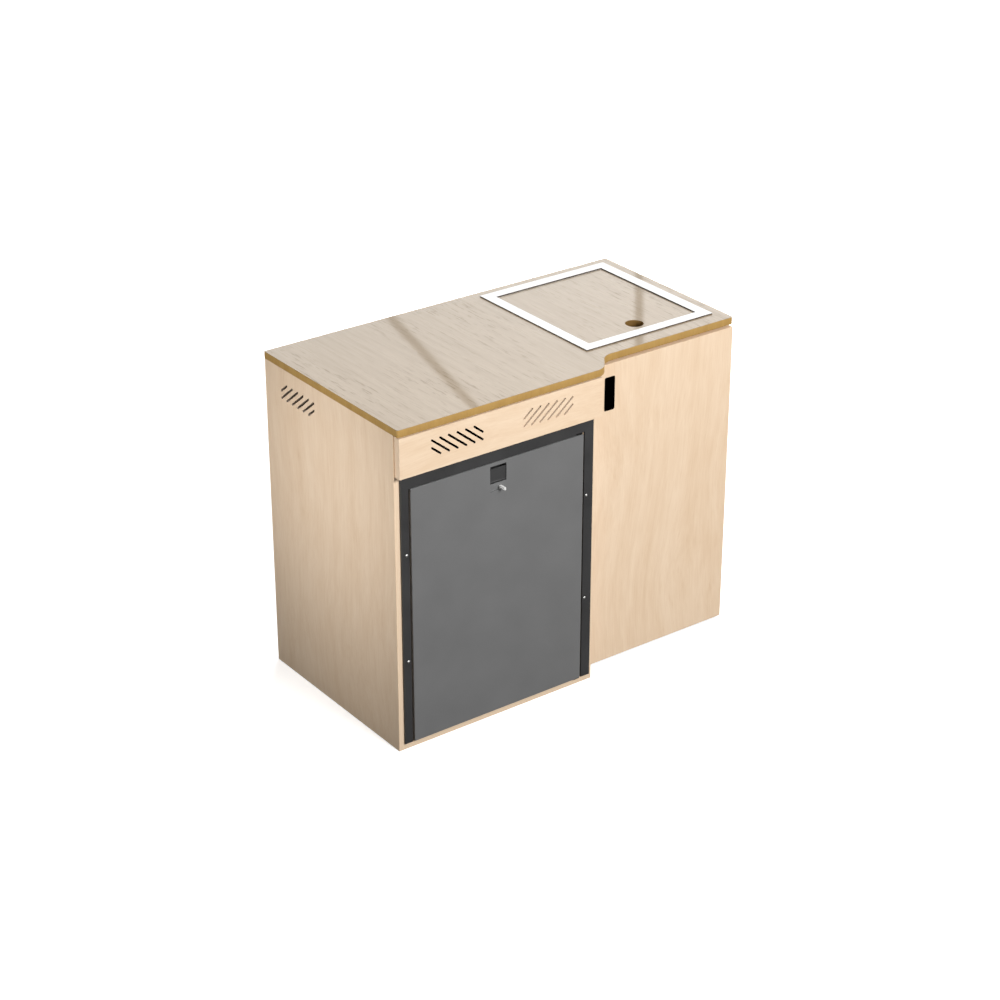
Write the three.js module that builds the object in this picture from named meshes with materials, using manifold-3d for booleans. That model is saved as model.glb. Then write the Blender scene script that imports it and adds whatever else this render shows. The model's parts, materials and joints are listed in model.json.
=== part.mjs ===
// Campervan kitchen pod: a cabinet with a stepped worktop, a built-in compressor fridge on the left,
// a drop-in basin under a lift-out lid on the right, and a cupboard below it.
// Millimetres. The origin is on the floor under the middle of the worktop; +X runs to the right seen
// from the front, -Y to the front and +Z up.

import * as THREE from "three";
import { mergeVertices } from "three/addons/utils/BufferGeometryUtils.js";
import Module from "manifold-3d";

const wasm = await Module();
wasm.setup();

// Cabinet

const boardThickness = 18;
const baseThickness = 15;
const backThickness = 6;
const railWidth = 40;
const battenWidth = 18;
const battenDepth = 30;
// Clearance between pieces that rest on each other and can be taken apart.
const seatGap = 0.5;
// How far a cutting tool reaches past the face that it cuts.
const overrun = 2;

// Worktop

const laminateThickness = 1;
const worktopCornerRadius = 5;
const frontStep = 58;
const stepRadius = 40;
const stepAngle = 52;
const stepInset = 10.25;

// Fascia and vents

const fasciaTopGap = 3.75;
const fasciaBottomGap = 5;
const fasciaHeight = 97.25;
const fasciaEndInset = 4;
const fasciaOverrun = 4;
const ventLength = 141;
const ventHeight = 43;
const ventSpacing = 249.5;
const fasciaVentDrop = 21.75;
const sideVentDrop = 35.25;
const sideVentSetback = 67.5;
const slotWidth = 5;
const slotPitch = 23;
const slotAngle = 39;

// Fridge cabinet

const fridgeWidth = 474;
const fridgeHeight = 642.5;
const fridgeBackGap = 36;
const fridgeSideGap = 5;
const fridgeWall = 38;
const linerThickness = 2;
const compressorBayDepth = 100;
const compressorBayHeight = 200;
const shelfRibHeight = 6;
const shelfRibDepth = 8;
const lowerShelfRise = 10;
const shelfSpacing = 130;
const shelfWire = 4;
const shelfSideGap = 1;
const shelfBars = 11;
const shelfBinGap = 16;
const evaporatorHeight = 95;
const evaporatorBackGap = 40;
const evaporatorSideGap = 19;
const evaporatorSheet = 2;

// Cooling unit behind the fridge

const trayThickness = 2;
const unitMargin = 8;
const compressorHeight = 120;
const compressorShoulder = 12;
const compressorFootHeight = 8;
const compressorFootRadius = 14;
const compressorOffset = 90;
const condenserWidth = 150;
const condenserHeight = 150;
const condenserFin = 2;
const condenserFins = 9;
const condenserSpine = 16;

// Fridge flange

const flangeThickness = 4.5;
const flangeLeftStrip = 20.5;
const flangeRightStrip = 25.75;
const flangeHead = 30.25;
const flangeFoot = 1.5;
const screwHeadRadius = 3.5;
const screwHeadHeight = 1.25;
const screwShankRadius = 1.75;
const screwLength = 22;
const screwHoleGap = 0.35;
const screwLowShare = 0.317;
const screwHighShare = 0.7165;

// Fridge door

const fridgeDoorSideLap = 1.75;
const fridgeDoorTopStep = 1.5;
const fridgeDoorThickness = 29;
const fridgeDoorProud = 2;
const fridgeDoorGap = 4.75;
const fridgeDoorTopGap = 1.25;
const hingeNotchGap = 2.75;
const fridgeDoorFoot = 2.5;
const fridgeDoorCorner = 3;
const fridgeHingeInset = 6;
const hingePlateHalfWidth = 5;
const hingePlateReach = 11;
const upperHingePlate = 2;
const upperHingeGap = 1;
const lowerHingePlate = 1.5;
const hingeTail = 18;
const fridgePinRadius = 2.5;
const fridgePinReach = 12;
const pinHoleGap = 0.5;
const sealThickness = 7.5;
const sealInset = 6;
const sealWidth = 14;
const doorLinerThickness = 6;
const doorLinerGap = 1;
const dykeDepth = 34;
const dykeWall = 8;
const dykeGap = 8;
const binDepth = 74;
const binWall = 3;
const doorBinHeight = 75;
const lowerBinPlace = 20;
const upperBinPlace = 285;

// Fridge latch

const recessWidth = 42;
const recessHeight = 40.5;
const recessDepth = 20;
const recessDrop = 9;
const recessOffset = 2.25;
const latchWall = 1.5;
const flapThickness = 3;
const flapSetback = 0.75;
const flapTopGap = 5.5;
const flapPivotRadius = 2;
const flapGap = 0.5;
const latchBoltWidth = 12;
const latchBoltThickness = 6;
const latchBoltShow = 0.75;
const latchBoltGap = 0.5;
const lockSlotOffset = 8;
const lockSlotWidth = 31;
const lockSlotHeight = 11;
const lockSlotDepth = 4;
const lockSlotDrop = 10;
const lockGap = 0.5;
const lockBaseWidth = 5.5;
const lockTabWidth = 5.5;
const lockTabHeight = 5.5;
const lockReach = 18;

// Basin and its lid

const rimWidth = 379.5;
const rimDepth = 416.5;
const rimStrip = 28.5;
const rimRise = 3;
const rimCorner = 2;
const basinLeftRoom = 61.75;
const basinRightRoom = 35.75;
const basinFrontRoom = 47.75;
const basinBackRoom = 44.25;
const basinWall = 3;
const cutoutGap = 1;
const ledgeWidth = 10;
const bowlDepth = 130;
const bowlCorner = 40;
const bowlTaper = 9;
const lidGap = 1.5;
const fingerHoleRadius = 22.25;
const fingerHoleOffset = 4.25;
const fingerHoleInset = 37.5;

// Waste fitting

const drainRadius = 35;
const strainerLap = 7;
const strainerFlangeThickness = 2;
const drainGap = 1;
const strainerTailLength = 44;
const strainerWall = 4;
const strainerSeat = 10;
const strainerCrossWidth = 6;
const strainerCrossThickness = 3;
const plugThickness = 6;
const plugKnobRadius = 6;
const plugKnobHeight = 8;
const plugGap = 0.5;
const nutLap = 9;
const nutHeight = 10;
const trapGap = 0.5;
const trapWall = 3;
const trapRoom = 4;
const trapLength = 78;
const outletRadius = 16;
const outletReach = 96;
const outletDrop = 24;

// Cupboard

const cupboardDoorProud = 1.5;
const cupboardDoorSideGap = 3;
const cupboardDoorFoot = 7;
const cupboardDoorTopGap = 7.25;
const hingeSpace = 2;
const shelfHeight = 372;
const shelfSetback = 60;
const cleatHeight = 18;
const cleatWidth = 18;
const stopWidth = 36;

// Cupboard hinges

const barrelRadius = 3;
const barrelGap = 0.5;
const hingePinRadius = 1.5;
const hingePinGap = 0.3;
const hingeLeafThickness = 1.5;
const hingeLength = 66;
const knuckleGap = 0.5;
const hingeWebWidth = 6.5;
const hingeEndInset = 90;
const pinHeadRadius = 2.6;
const pinHeadHeight = 1.2;

// Cupboard catch

const catchWidth = 30;
const catchHeight = 84;
const catchInset = 53;
const catchDrop = 32.25;
const catchCorner = 4;
const bezelProud = 1;
const bezelStrip = 2;
const catchWall = 2;
const catchBackReach = 20;
const paddleGap = 0.5;
const paddlePivotRadius = 2.5;
const scoopSideWall = 2.25;
const scoopHeight = 9;
const scoopDepth = 2.5;
const scoopInset = 4;
const catchBoltHeight = 12;
const catchBoltThickness = 8;
const catchBoltGap = 0.5;
const catchBoltTravel = 8;
const catchFrontDepth = 14;
const catchTipGap = 1;
const keeperThickness = 1.5;
const keeperHeight = 50;

// Places worked out from the sizes

// Across: the fridge bay, the cupboard that holds the basin, and three upright boards.
const openingWidth = rimWidth - 2 * rimStrip;
const openingDepth = rimDepth - 2 * rimStrip;
const sinkWidth = openingWidth + 2 * basinWall;
const sinkDepth = openingDepth + 2 * basinWall;
const bayWidth = fridgeWidth + 2 * (fridgeSideGap + battenWidth);
const cupboardWidth = basinLeftRoom + sinkWidth + basinRightRoom;
const podLength = bayWidth + cupboardWidth + 3 * boardThickness;

const leftFace = -podLength / 2;
const rightFace = podLength / 2;
const bayLeft = leftFace + boardThickness;
const bayRight = bayLeft + bayWidth;
const bayCentre = (bayLeft + bayRight) / 2;
const dividerRight = bayRight + boardThickness;
const cupboardRight = rightFace - boardThickness;
const basinCentreX = cupboardRight - basinRightRoom - sinkWidth / 2;

// From front to back: the basin and the door in front of it set the shallow end, the step the deep one.
const doorStandoff = boardThickness + hingeSpace - cupboardDoorProud;
const shallowDepth = doorStandoff + basinFrontRoom + sinkDepth + basinBackRoom + backThickness;
const podDepth = shallowDepth + frontStep;

const frontFace = -podDepth / 2;
const backFace = podDepth / 2;
const innerBack = backFace - backThickness;
const carcassFront = frontFace + boardThickness;
const shallowFront = frontFace + frontStep;
const cupboardDoorFront = shallowFront - cupboardDoorProud;
const cupboardDoorBack = cupboardDoorFront + boardThickness;
const cupboardFront = cupboardDoorBack + hingeSpace;
const basinCentreY = innerBack - basinBackRoom - sinkDepth / 2;

const flangeFront = carcassFront - seatGap - flangeThickness;
const fridgeDoorFront = flangeFront - fridgeDoorProud;
const fridgeFront = fridgeDoorFront + fridgeDoorThickness + sealThickness + seatGap;
const fridgeDepth = innerBack - fridgeBackGap - fridgeFront;

// Upwards: the base, the fridge and its flange, the fascia and the worktop.
const fridgeBottom = baseThickness + seatGap;
const fridgeDoorWidth = fridgeWidth + 2 * fridgeDoorSideLap;
const fridgeDoorHeight = fridgeHeight - fridgeDoorTopStep;
const fridgeDoorBottom = baseThickness + fridgeDoorFoot;
const fridgeDoorTop = fridgeDoorBottom + fridgeDoorHeight;
const flangeBottom = baseThickness + flangeFoot;
const flangeLintel = fridgeDoorTop + fridgeDoorTopGap;
const flangeTop = flangeLintel + flangeHead;
const fasciaBottom = flangeTop + fasciaBottomGap;
const fasciaTop = fasciaBottom + fasciaHeight;
const panelTop = fasciaTop + fasciaTopGap;
const worktopHeight = panelTop + boardThickness;
const fasciaLeft = leftFace + fasciaEndInset;
const fasciaRight = dividerRight + fasciaOverrun;

// Finishes

function finish(color, roughness, metalness) {
  return new THREE.MeshStandardMaterial({ color, roughness, metalness });
}

function lightPlywood() {
  return finish(0xdcc5a0, 0.6, 0);
}

function brownEdge() {
  return finish(0xb9935a, 0.55, 0);
}

function greigeLaminate() {
  return finish(0xd2c8ba, 0.5, 0);
}

function whiteEnamel() {
  return finish(0xf6f6f4, 0.25, 0);
}

function charcoalPlastic() {
  return finish(0x3e4043, 0.55, 0);
}

function greyDoorSkin() {
  return finish(0x72767b, 0.45, 0.1);
}

function blackPlastic() {
  return finish(0x161616, 0.4, 0);
}

function whitePlastic() {
  return finish(0xe9eaea, 0.35, 0);
}

function blackRubber() {
  return finish(0x1c1c1c, 0.8, 0);
}

function brightSteel() {
  return finish(0xc9cbcc, 0.3, 0.9);
}

function sheetAluminium() {
  return finish(0xbfc2c4, 0.4, 0.8);
}

function blackEnamel() {
  return finish(0x242526, 0.5, 0.3);
}

// Solids

const X = new THREE.Vector3(1, 0, 0);
const Y = new THREE.Vector3(0, 1, 0);
const Z = new THREE.Vector3(0, 0, 1);

// A closed geometry as a solid that can be joined and cut.
function toSolid(geometry) {
  const bare = geometry.clone();
  bare.deleteAttribute("normal");
  bare.deleteAttribute("uv");
  const welded = mergeVertices(bare);
  return new wasm.Manifold(
    new wasm.Mesh({
      numProp: 3,
      vertProperties: new Float32Array(welded.attributes.position.array),
      triVerts: new Uint32Array(welded.index.array),
    }),
  );
}

function toGeometry(solid) {
  const mesh = solid.getMesh();
  const geometry = new THREE.BufferGeometry();
  geometry.setAttribute("position", new THREE.BufferAttribute(mesh.vertProperties, 3));
  geometry.setIndex(new THREE.BufferAttribute(mesh.triVerts, 1));
  geometry.computeVertexNormals();
  return geometry;
}

function join(first, ...others) {
  const solid = others.reduce((sum, other) => sum.add(toSolid(other)), toSolid(first));
  return toGeometry(solid);
}

function cut(body, ...tools) {
  const solid = tools.reduce((rest, tool) => rest.subtract(toSolid(tool)), toSolid(body));
  return toGeometry(solid);
}

// Moves the two end planes of a unit shape along one axis to their exact places.
function stretch(geometry, axis, from, to) {
  const places = geometry.attributes.position;
  geometry.computeBoundingBox();
  const middle = (geometry.boundingBox.min[axis] + geometry.boundingBox.max[axis]) / 2;
  for (let i = 0; i < places.count; i += 1) {
    const value = places.getComponent(i, "xyz".indexOf(axis));
    places.setComponent(i, "xyz".indexOf(axis), value < middle ? from : to);
  }
  return geometry;
}

function block([left, right], [front, back], [bottom, top]) {
  const box = new THREE.BoxGeometry(1, 1, 1);
  stretch(box, "x", left, right);
  stretch(box, "y", front, back);
  return stretch(box, "z", bottom, top);
}

// Outlines are drawn on XY and extruded up, on XZ and extruded back, or on YZ and extruded right.
function extrude(outline, axis, from, to, segments = 8) {
  const options = { depth: 1, bevelEnabled: false, curveSegments: segments };
  const slab = new THREE.ExtrudeGeometry(outline, options);
  const basis = new THREE.Matrix4();
  if (axis === "y") basis.makeBasis(X, Z, Y.clone().negate());
  if (axis === "x") basis.makeBasis(Y, Z, X);
  slab.applyMatrix4(basis);
  return stretch(slab, axis, from, to);
}

function rod(axis, radius, from, to, sides = 16) {
  const bar = new THREE.CylinderGeometry(radius, radius, 1, sides);
  if (axis === "x") bar.rotateZ(-Math.PI / 2);
  if (axis === "z") bar.rotateX(Math.PI / 2);
  return stretch(bar, axis, from, to);
}

// A profile of [radius, height] pairs turned about Z.
function turned(profile, sides = 24) {
  const points = profile.map(([radius, height]) => new THREE.Vector2(radius, height));
  const body = new THREE.LatheGeometry(points, sides);
  return body.rotateX(Math.PI / 2);
}

function rectangle([left, right], [bottom, top]) {
  const outline = new THREE.Shape();
  outline.moveTo(left, bottom);
  outline.lineTo(right, bottom);
  outline.lineTo(right, top);
  outline.lineTo(left, top);
  outline.closePath();
  return outline;
}

function roundedRectangle([left, right], [bottom, top], radius) {
  const outline = new THREE.Shape();
  const quarter = Math.PI / 2;
  outline.moveTo(left + radius, bottom);
  outline.absarc(right - radius, bottom + radius, radius, -quarter, 0);
  outline.absarc(right - radius, top - radius, radius, 0, quarter);
  outline.absarc(left + radius, top - radius, radius, quarter, 2 * quarter);
  outline.absarc(left + radius, bottom + radius, radius, 2 * quarter, 3 * quarter);
  outline.closePath();
  return outline;
}

function about(centre, width) {
  return [centre - width / 2, centre + width / 2];
}

function piece(name, geometry, material) {
  const mesh = new THREE.Mesh(geometry, material);
  mesh.name = name;
  return mesh;
}

function group(x, y, z, ...members) {
  const holder = new THREE.Group();
  holder.position.set(x, y, z);
  holder.add(...members);
  return holder;
}

// Vents

// One slot with round ends, from one end centre to the other.
function slotOutline(start, end) {
  const heading = Math.atan2(end.y - start.y, end.x - start.x);
  const quarter = Math.PI / 2;
  const outline = new THREE.Shape();
  outline.absarc(end.x, end.y, slotWidth / 2, heading - quarter, heading + quarter);
  outline.absarc(start.x, start.y, slotWidth / 2, heading + quarter, heading + 3 * quarter);
  outline.closePath();
  return outline;
}

// Slanted slots that fill a rectangle about a centre. Rise is 1 where they climb to the right, -1 to the left.
function ventOutlines(centre, height, rise) {
  const angle = THREE.MathUtils.degToRad(slotAngle);
  const reachAcross = (ventLength - slotWidth) / 2;
  const reachAlong = (ventHeight - slotWidth) / 2 / Math.sin(angle);
  const count = Math.floor((reachAcross + reachAlong * Math.cos(angle)) / slotPitch);
  const outlines = [];
  for (let i = -count; i <= count; i += 1) {
    const middle = i * slotPitch;
    const first = Math.max(-reachAlong, (-reachAcross - middle) / Math.cos(angle));
    const last = Math.min(reachAlong, (reachAcross - middle) / Math.cos(angle));
    if (last - first < slotWidth) continue;
    const at = (run) =>
      new THREE.Vector2(centre + rise * (middle + run * Math.cos(angle)), height + run * Math.sin(angle));
    outlines.push(slotOutline(at(first), at(last)));
  }
  return outlines;
}

// Cabinet boards

function board(name, x, y, z) {
  return piece(name, block(x, y, z), lightPlywood());
}

function leftSidePanel() {
  const centre = backFace - sideVentSetback - ventLength / 2;
  const height = panelTop - sideVentDrop - ventHeight / 2;
  const panel = block([leftFace, bayLeft], [carcassFront, backFace], [0, panelTop]);
  const slots = ventOutlines(centre, height, -1).map((outline) =>
    extrude(outline, "x", leftFace - overrun, bayLeft + overrun, 4),
  );
  return piece("left_side_panel", cut(panel, ...slots), lightPlywood());
}

function fasciaPanel() {
  const centre = (fasciaLeft + fasciaRight) / 2;
  const height = fasciaTop - fasciaVentDrop - ventHeight / 2;
  const panel = block([fasciaLeft, fasciaRight], [frontFace, carcassFront], [fasciaBottom, fasciaTop]);
  const outlines = [
    ...ventOutlines(centre - ventSpacing / 2, height, -1),
    ...ventOutlines(centre + ventSpacing / 2, height, 1),
  ];
  const slots = outlines.map((outline) =>
    extrude(outline, "y", frontFace - overrun, carcassFront + overrun, 4),
  );
  return piece("fascia_panel", cut(panel, ...slots), lightPlywood());
}

// The flange's screws bite in the battens at these heights.
const screwHeights = [screwLowShare, screwHighShare].map(
  (share) => flangeBottom + share * (flangeTop - flangeBottom),
);

function fridgeBatten(name, x, screwX) {
  const batten = block(x, [carcassFront, carcassFront + battenDepth], [baseThickness, panelTop - boardThickness]);
  const hole = screwShankRadius + screwHoleGap;
  const pilots = screwHeights.map((height) => {
    const pilot = rod("y", hole, carcassFront - overrun, carcassFront + screwLength, 12);
    return pilot.translate(screwX, 0, height);
  });
  return piece(name, cut(batten, ...pilots), lightPlywood());
}

function fridgeRail(name, y) {
  return board(name, [bayLeft, bayRight], y, [panelTop - boardThickness, panelTop]);
}

function cupboardRail(name, y) {
  return board(name, [dividerRight, cupboardRight], y, [panelTop - boardThickness, panelTop]);
}

function shelfCleat(name, x) {
  return board(name, x, [cupboardFront + shelfSetback, innerBack], [shelfHeight - cleatHeight, shelfHeight]);
}

function catchKeeper() {
  const plate = block(
    [dividerRight + stopWidth, dividerRight + stopWidth + keeperThickness],
    [cupboardFront, cupboardFront + boardThickness],
    about(catchCentreHeight, keeperHeight),
  );
  return piece("catch_keeper", plate, brightSteel());
}

function cabinet() {
  const railBottom = panelTop - boardThickness;
  return group(
    0,
    0,
    0,
    leftSidePanel(),
    board("divider_panel", [bayRight, dividerRight], [carcassFront, innerBack], [0, panelTop]),
    board("right_side_panel", [cupboardRight, rightFace], [cupboardFront, backFace], [0, panelTop]),
    board("fridge_base_panel", [bayLeft, bayRight], [carcassFront, innerBack], [0, baseThickness]),
    board("cupboard_base_panel", [dividerRight, cupboardRight], [cupboardFront, innerBack], [0, baseThickness]),
    board("back_panel", [bayLeft, cupboardRight], [innerBack, backFace], [0, panelTop]),
    fasciaPanel(),
    fridgeRail("fridge_front_rail", [carcassFront, carcassFront + railWidth]),
    fridgeRail("fridge_rear_rail", [innerBack - railWidth, innerBack]),
    cupboardRail("cupboard_front_rail", [cupboardFront, cupboardFront + railWidth]),
    cupboardRail("cupboard_rear_rail", [innerBack - railWidth, innerBack]),
    fridgeBatten("fridge_batten_left", [bayLeft, bayLeft + battenWidth], bayCentre - screwReach),
    fridgeBatten("fridge_batten_right", [bayRight - battenWidth, bayRight], bayCentre + screwReach),
    board(
      "cupboard_shelf",
      [dividerRight, cupboardRight],
      [cupboardFront + shelfSetback, innerBack],
      [shelfHeight, shelfHeight + boardThickness],
    ),
    shelfCleat("shelf_cleat_left", [dividerRight, dividerRight + cleatWidth]),
    shelfCleat("shelf_cleat_right", [cupboardRight - cleatWidth, cupboardRight]),
    board(
      "door_stop_batten",
      [dividerRight, dividerRight + stopWidth],
      [cupboardFront, cupboardFront + boardThickness],
      [baseThickness, railBottom],
    ),
    catchKeeper(),
  );
}

// Worktop

// The front edge steps back to the right in an S of two equal curves and the straight between them.
function worktopOutline() {
  const angle = THREE.MathUtils.degToRad(stepAngle);
  const quarter = Math.PI / 2;
  const corner = worktopCornerRadius;
  const stepStart = dividerRight - stepInset;
  const straight = (frontStep - 2 * stepRadius * (1 - Math.cos(angle))) / Math.sin(angle);
  const stepEnd = stepStart + 2 * stepRadius * Math.sin(angle) + straight * Math.cos(angle);
  const outline = new THREE.Shape();
  outline.moveTo(leftFace + corner, frontFace);
  outline.absarc(stepStart, frontFace + stepRadius, stepRadius, -quarter, angle - quarter);
  outline.absarc(stepEnd, shallowFront - stepRadius, stepRadius, angle + quarter, quarter, true);
  outline.absarc(rightFace - corner, shallowFront + corner, corner, -quarter, 0);
  outline.lineTo(rightFace, backFace);
  outline.lineTo(leftFace, backFace);
  outline.absarc(leftFace + corner, frontFace + corner, corner, 2 * quarter, 3 * quarter);
  outline.closePath();
  const hole = roundedRectangle(
    about(basinCentreX, sinkWidth + 2 * cutoutGap),
    about(basinCentreY, sinkDepth + 2 * cutoutGap),
    rimCorner + basinWall + cutoutGap,
  );
  outline.holes.push(hole);
  return outline;
}

function worktop() {
  const coreTop = boardThickness - laminateThickness;
  const outline = worktopOutline();
  return group(
    0,
    0,
    panelTop,
    piece("worktop_core", extrude(outline, "z", 0, coreTop, 10), brownEdge()),
    piece("worktop_laminate", extrude(outline, "z", coreTop, boardThickness, 10), greigeLaminate()),
  );
}

// Basin, in its own frame: the origin is in the middle of the basin on the worktop's top face

const ledgeTop = -boardThickness - seatGap;
const bowlWidth = openingWidth - 2 * ledgeWidth;
const bowlLength = openingDepth - 2 * ledgeWidth;
const bowlFloor = ledgeTop - bowlDepth;
const drainUnderside = bowlFloor - basinWall;
const tailRadius = drainRadius - drainGap;
const strainerBore = tailRadius - strainerWall;

function roundedBlock(width, depth, radius, from, to) {
  return extrude(roundedRectangle(about(0, width), about(0, depth), radius), "z", from, to, 6);
}

// A rounded block whose lower end is smaller by the taper on every side.
function taperedBlock(width, depth, radius, from, to) {
  const body = roundedBlock(width, depth, radius, from, to);
  const places = body.attributes.position;
  for (let i = 0; i < places.count; i += 1) {
    if (places.getZ(i) > (from + to) / 2) continue;
    places.setX(i, places.getX(i) * (1 - (2 * bowlTaper) / width));
    places.setY(i, places.getY(i) * (1 - (2 * bowlTaper) / depth));
  }
  return body;
}

function basin() {
  const wall = basinWall;
  const shell = join(
    roundedBlock(rimWidth, rimDepth, rimCorner, seatGap, rimRise),
    roundedBlock(sinkWidth, sinkDepth, rimCorner + wall, ledgeTop - wall, rimRise),
    taperedBlock(bowlWidth + 2 * wall, bowlLength + 2 * wall, bowlCorner + wall, drainUnderside, ledgeTop),
  );
  const hollow = cut(
    shell,
    roundedBlock(openingWidth, openingDepth, rimCorner, ledgeTop, rimRise + overrun),
    taperedBlock(bowlWidth, bowlLength, bowlCorner, bowlFloor, ledgeTop + overrun),
    rod("z", drainRadius, drainUnderside - overrun, bowlFloor + overrun, 24),
  );
  return piece("basin", hollow, whiteEnamel());
}

function lidSheet(name, from, to, material) {
  const outline = roundedRectangle(
    about(0, openingWidth - 2 * lidGap),
    about(0, openingDepth - 2 * lidGap),
    rimCorner,
  );
  const hole = new THREE.Path();
  const holeY = -openingDepth / 2 + fingerHoleInset;
  hole.absarc(fingerHoleOffset, holeY, fingerHoleRadius, 0, 2 * Math.PI, true);
  outline.holes.push(hole);
  return piece(name, extrude(outline, "z", from, to, 12), material);
}

// Waste fitting: a strainer through the bowl's floor, a lift-out plug and a bottle trap

function strainer() {
  const top = bowlFloor + strainerFlangeThickness;
  const bottom = bowlFloor - strainerTailLength;
  const cup = turned([
    [strainerBore, bottom],
    [tailRadius, bottom],
    [tailRadius, bowlFloor],
    [drainRadius + strainerLap, bowlFloor],
    [drainRadius + strainerLap, top],
    [strainerBore, top],
    [strainerBore, bottom],
  ]);
  const reach = (strainerBore + tailRadius) / 2;
  const cross = [bowlFloor - strainerSeat - strainerCrossThickness, bowlFloor - strainerSeat];
  const bars = [
    block([-reach, reach], about(0, strainerCrossWidth), cross),
    block(about(0, strainerCrossWidth), [-reach, reach], cross),
  ];
  return piece("waste_strainer", join(cup, ...bars), brightSteel());
}

function plug() {
  const bottom = bowlFloor - strainerSeat + seatGap;
  const top = bottom + plugThickness;
  const body = turned([
    [0, bottom],
    [strainerBore - plugGap, bottom],
    [strainerBore - plugGap, top],
    [plugKnobRadius, top],
    [plugKnobRadius, top + plugKnobHeight],
    [0, top + plugKnobHeight],
  ]);
  return piece("waste_plug", body, blackRubber());
}

// The nut grips the bowl's floor from below and carries the trap, whose outlet runs to the back.
function trap() {
  const nutBottom = drainUnderside - nutHeight;
  const neck = tailRadius + trapGap;
  const trapRadius = tailRadius + trapRoom;
  const nutRadius = drainRadius + nutLap;
  const tailEnd = bowlFloor - strainerTailLength - seatGap;
  const bottom = tailEnd - trapLength;
  const body = turned([
    [0, bottom],
    [trapRadius, bottom],
    [trapRadius, tailEnd],
    [nutRadius, nutBottom],
    [nutRadius, drainUnderside],
    [neck, drainUnderside],
    [neck, tailEnd],
    [trapRadius - trapWall, tailEnd],
    [trapRadius - trapWall, bottom + trapWall],
    [0, bottom + trapWall],
  ]);
  const outletHeight = tailEnd - outletDrop;
  const start = trapRadius - trapWall / 2;
  const pipe = rod("y", outletRadius, start - trapWall, outletReach, 16).translate(0, 0, outletHeight);
  const bore = rod("y", outletRadius - trapWall, 0, outletReach + overrun, 16).translate(0, 0, outletHeight);
  return piece("waste_trap", cut(join(body, pipe), bore), whitePlastic());
}

function basinGroup() {
  const lidCore = lidSheet("lid_panel", -boardThickness, -laminateThickness, brownEdge());
  const lidTop = lidSheet("lid_laminate", -laminateThickness, 0, greigeLaminate());
  return group(
    basinCentreX,
    basinCentreY,
    worktopHeight,
    basin(),
    group(0, 0, 0, lidCore, lidTop),
    strainer(),
    plug(),
    trap(),
  );
}

// Fridge, in its own frame: the origin is in the middle of its lower front edge

const fridgeHalf = fridgeWidth / 2;
const fridgeAxisX = fridgeDoorWidth / 2 - fridgeHingeInset;
const fridgeAxisY = fridgeDoorFront + fridgeHingeInset - fridgeFront;
const binBack = fridgeAxisY - fridgeHingeInset + fridgeDoorThickness + doorLinerThickness + binDepth;
const shelfFront = binBack + shelfBinGap;
const cavityHalf = fridgeHalf - fridgeWall;
const linerHalf = cavityHalf - linerThickness;
const linerFloor = fridgeWall + linerThickness;
const linerCeiling = fridgeHeight - fridgeWall - linerThickness;
const linerBack = fridgeDepth - fridgeWall - linerThickness;
const trayFront = fridgeDepth - compressorBayDepth;
const stepTop = compressorBayHeight + fridgeWall + linerThickness;
const unitMiddle = trayFront + compressorBayDepth / 2;
const unitDepth = compressorBayDepth - 2 * unitMargin;

// The cavity seen from the side, stepped over the compressor bay and drawn in by an inset all round.
function cavityOutline(front, inset) {
  const margin = fridgeWall + inset;
  const lowerBack = trayFront - margin;
  const step = compressorBayHeight + margin;
  const outline = new THREE.Shape();
  outline.moveTo(front, margin);
  outline.lineTo(lowerBack, margin);
  outline.lineTo(lowerBack, step);
  outline.lineTo(fridgeDepth - margin, step);
  outline.lineTo(fridgeDepth - margin, fridgeHeight - margin);
  outline.lineTo(front, fridgeHeight - margin);
  outline.closePath();
  return outline;
}

function fridgeCabinet() {
  const outline = new THREE.Shape();
  outline.moveTo(0, 0);
  outline.lineTo(trayFront, 0);
  outline.lineTo(trayFront, compressorBayHeight);
  outline.lineTo(fridgeDepth, compressorBayHeight);
  outline.lineTo(fridgeDepth, fridgeHeight);
  outline.lineTo(0, fridgeHeight);
  outline.closePath();
  const body = extrude(outline, "x", -fridgeHalf, fridgeHalf);
  const cavity = extrude(cavityOutline(-overrun, 0), "x", -cavityHalf, cavityHalf);
  return piece("fridge_cabinet", cut(body, cavity), charcoalPlastic());
}

const fridgeShelves = [
  ["fridge_shelf_lower", stepTop + lowerShelfRise],
  ["fridge_shelf_upper", stepTop + lowerShelfRise + shelfSpacing],
];

// The liner carries the wire shelves on a rib at each side.
function fridgeLiner() {
  const shell = cut(
    extrude(cavityOutline(0, 0), "x", -cavityHalf, cavityHalf),
    extrude(cavityOutline(-overrun, linerThickness), "x", -linerHalf, linerHalf),
  );
  const ribs = fridgeShelves.flatMap(([, height]) => {
    const along = [shelfFront, linerBack];
    const tall = [height - shelfRibHeight, height];
    return [
      block([-cavityHalf, -linerHalf + shelfRibDepth], along, tall),
      block([linerHalf - shelfRibDepth, cavityHalf], along, tall),
    ];
  });
  return piece("fridge_liner", join(shell, ...ribs), whitePlastic());
}

// Two cross wires rest on the ribs and carry the long wires, half sunk in them as welded wire is.
function fridgeShelf([name, height]) {
  const half = linerHalf - shelfSideGap;
  const back = linerBack - shelfSideGap;
  const cross = [height, height + shelfWire];
  const long = [height + shelfWire / 2, height + (3 * shelfWire) / 2];
  const reach = half - shelfWire;
  const pitch = (2 * reach) / (shelfBars - 1);
  const bars = [
    block([-half, half], about(shelfFront + shelfWire, shelfWire), cross),
    block([-half, half], about(back - shelfWire, shelfWire), cross),
  ];
  for (let i = 0; i < shelfBars; i += 1) {
    bars.push(block(about(i * pitch - reach, shelfWire), [shelfFront, back], long));
  }
  return piece(name, join(...bars), brightSteel());
}

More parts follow.
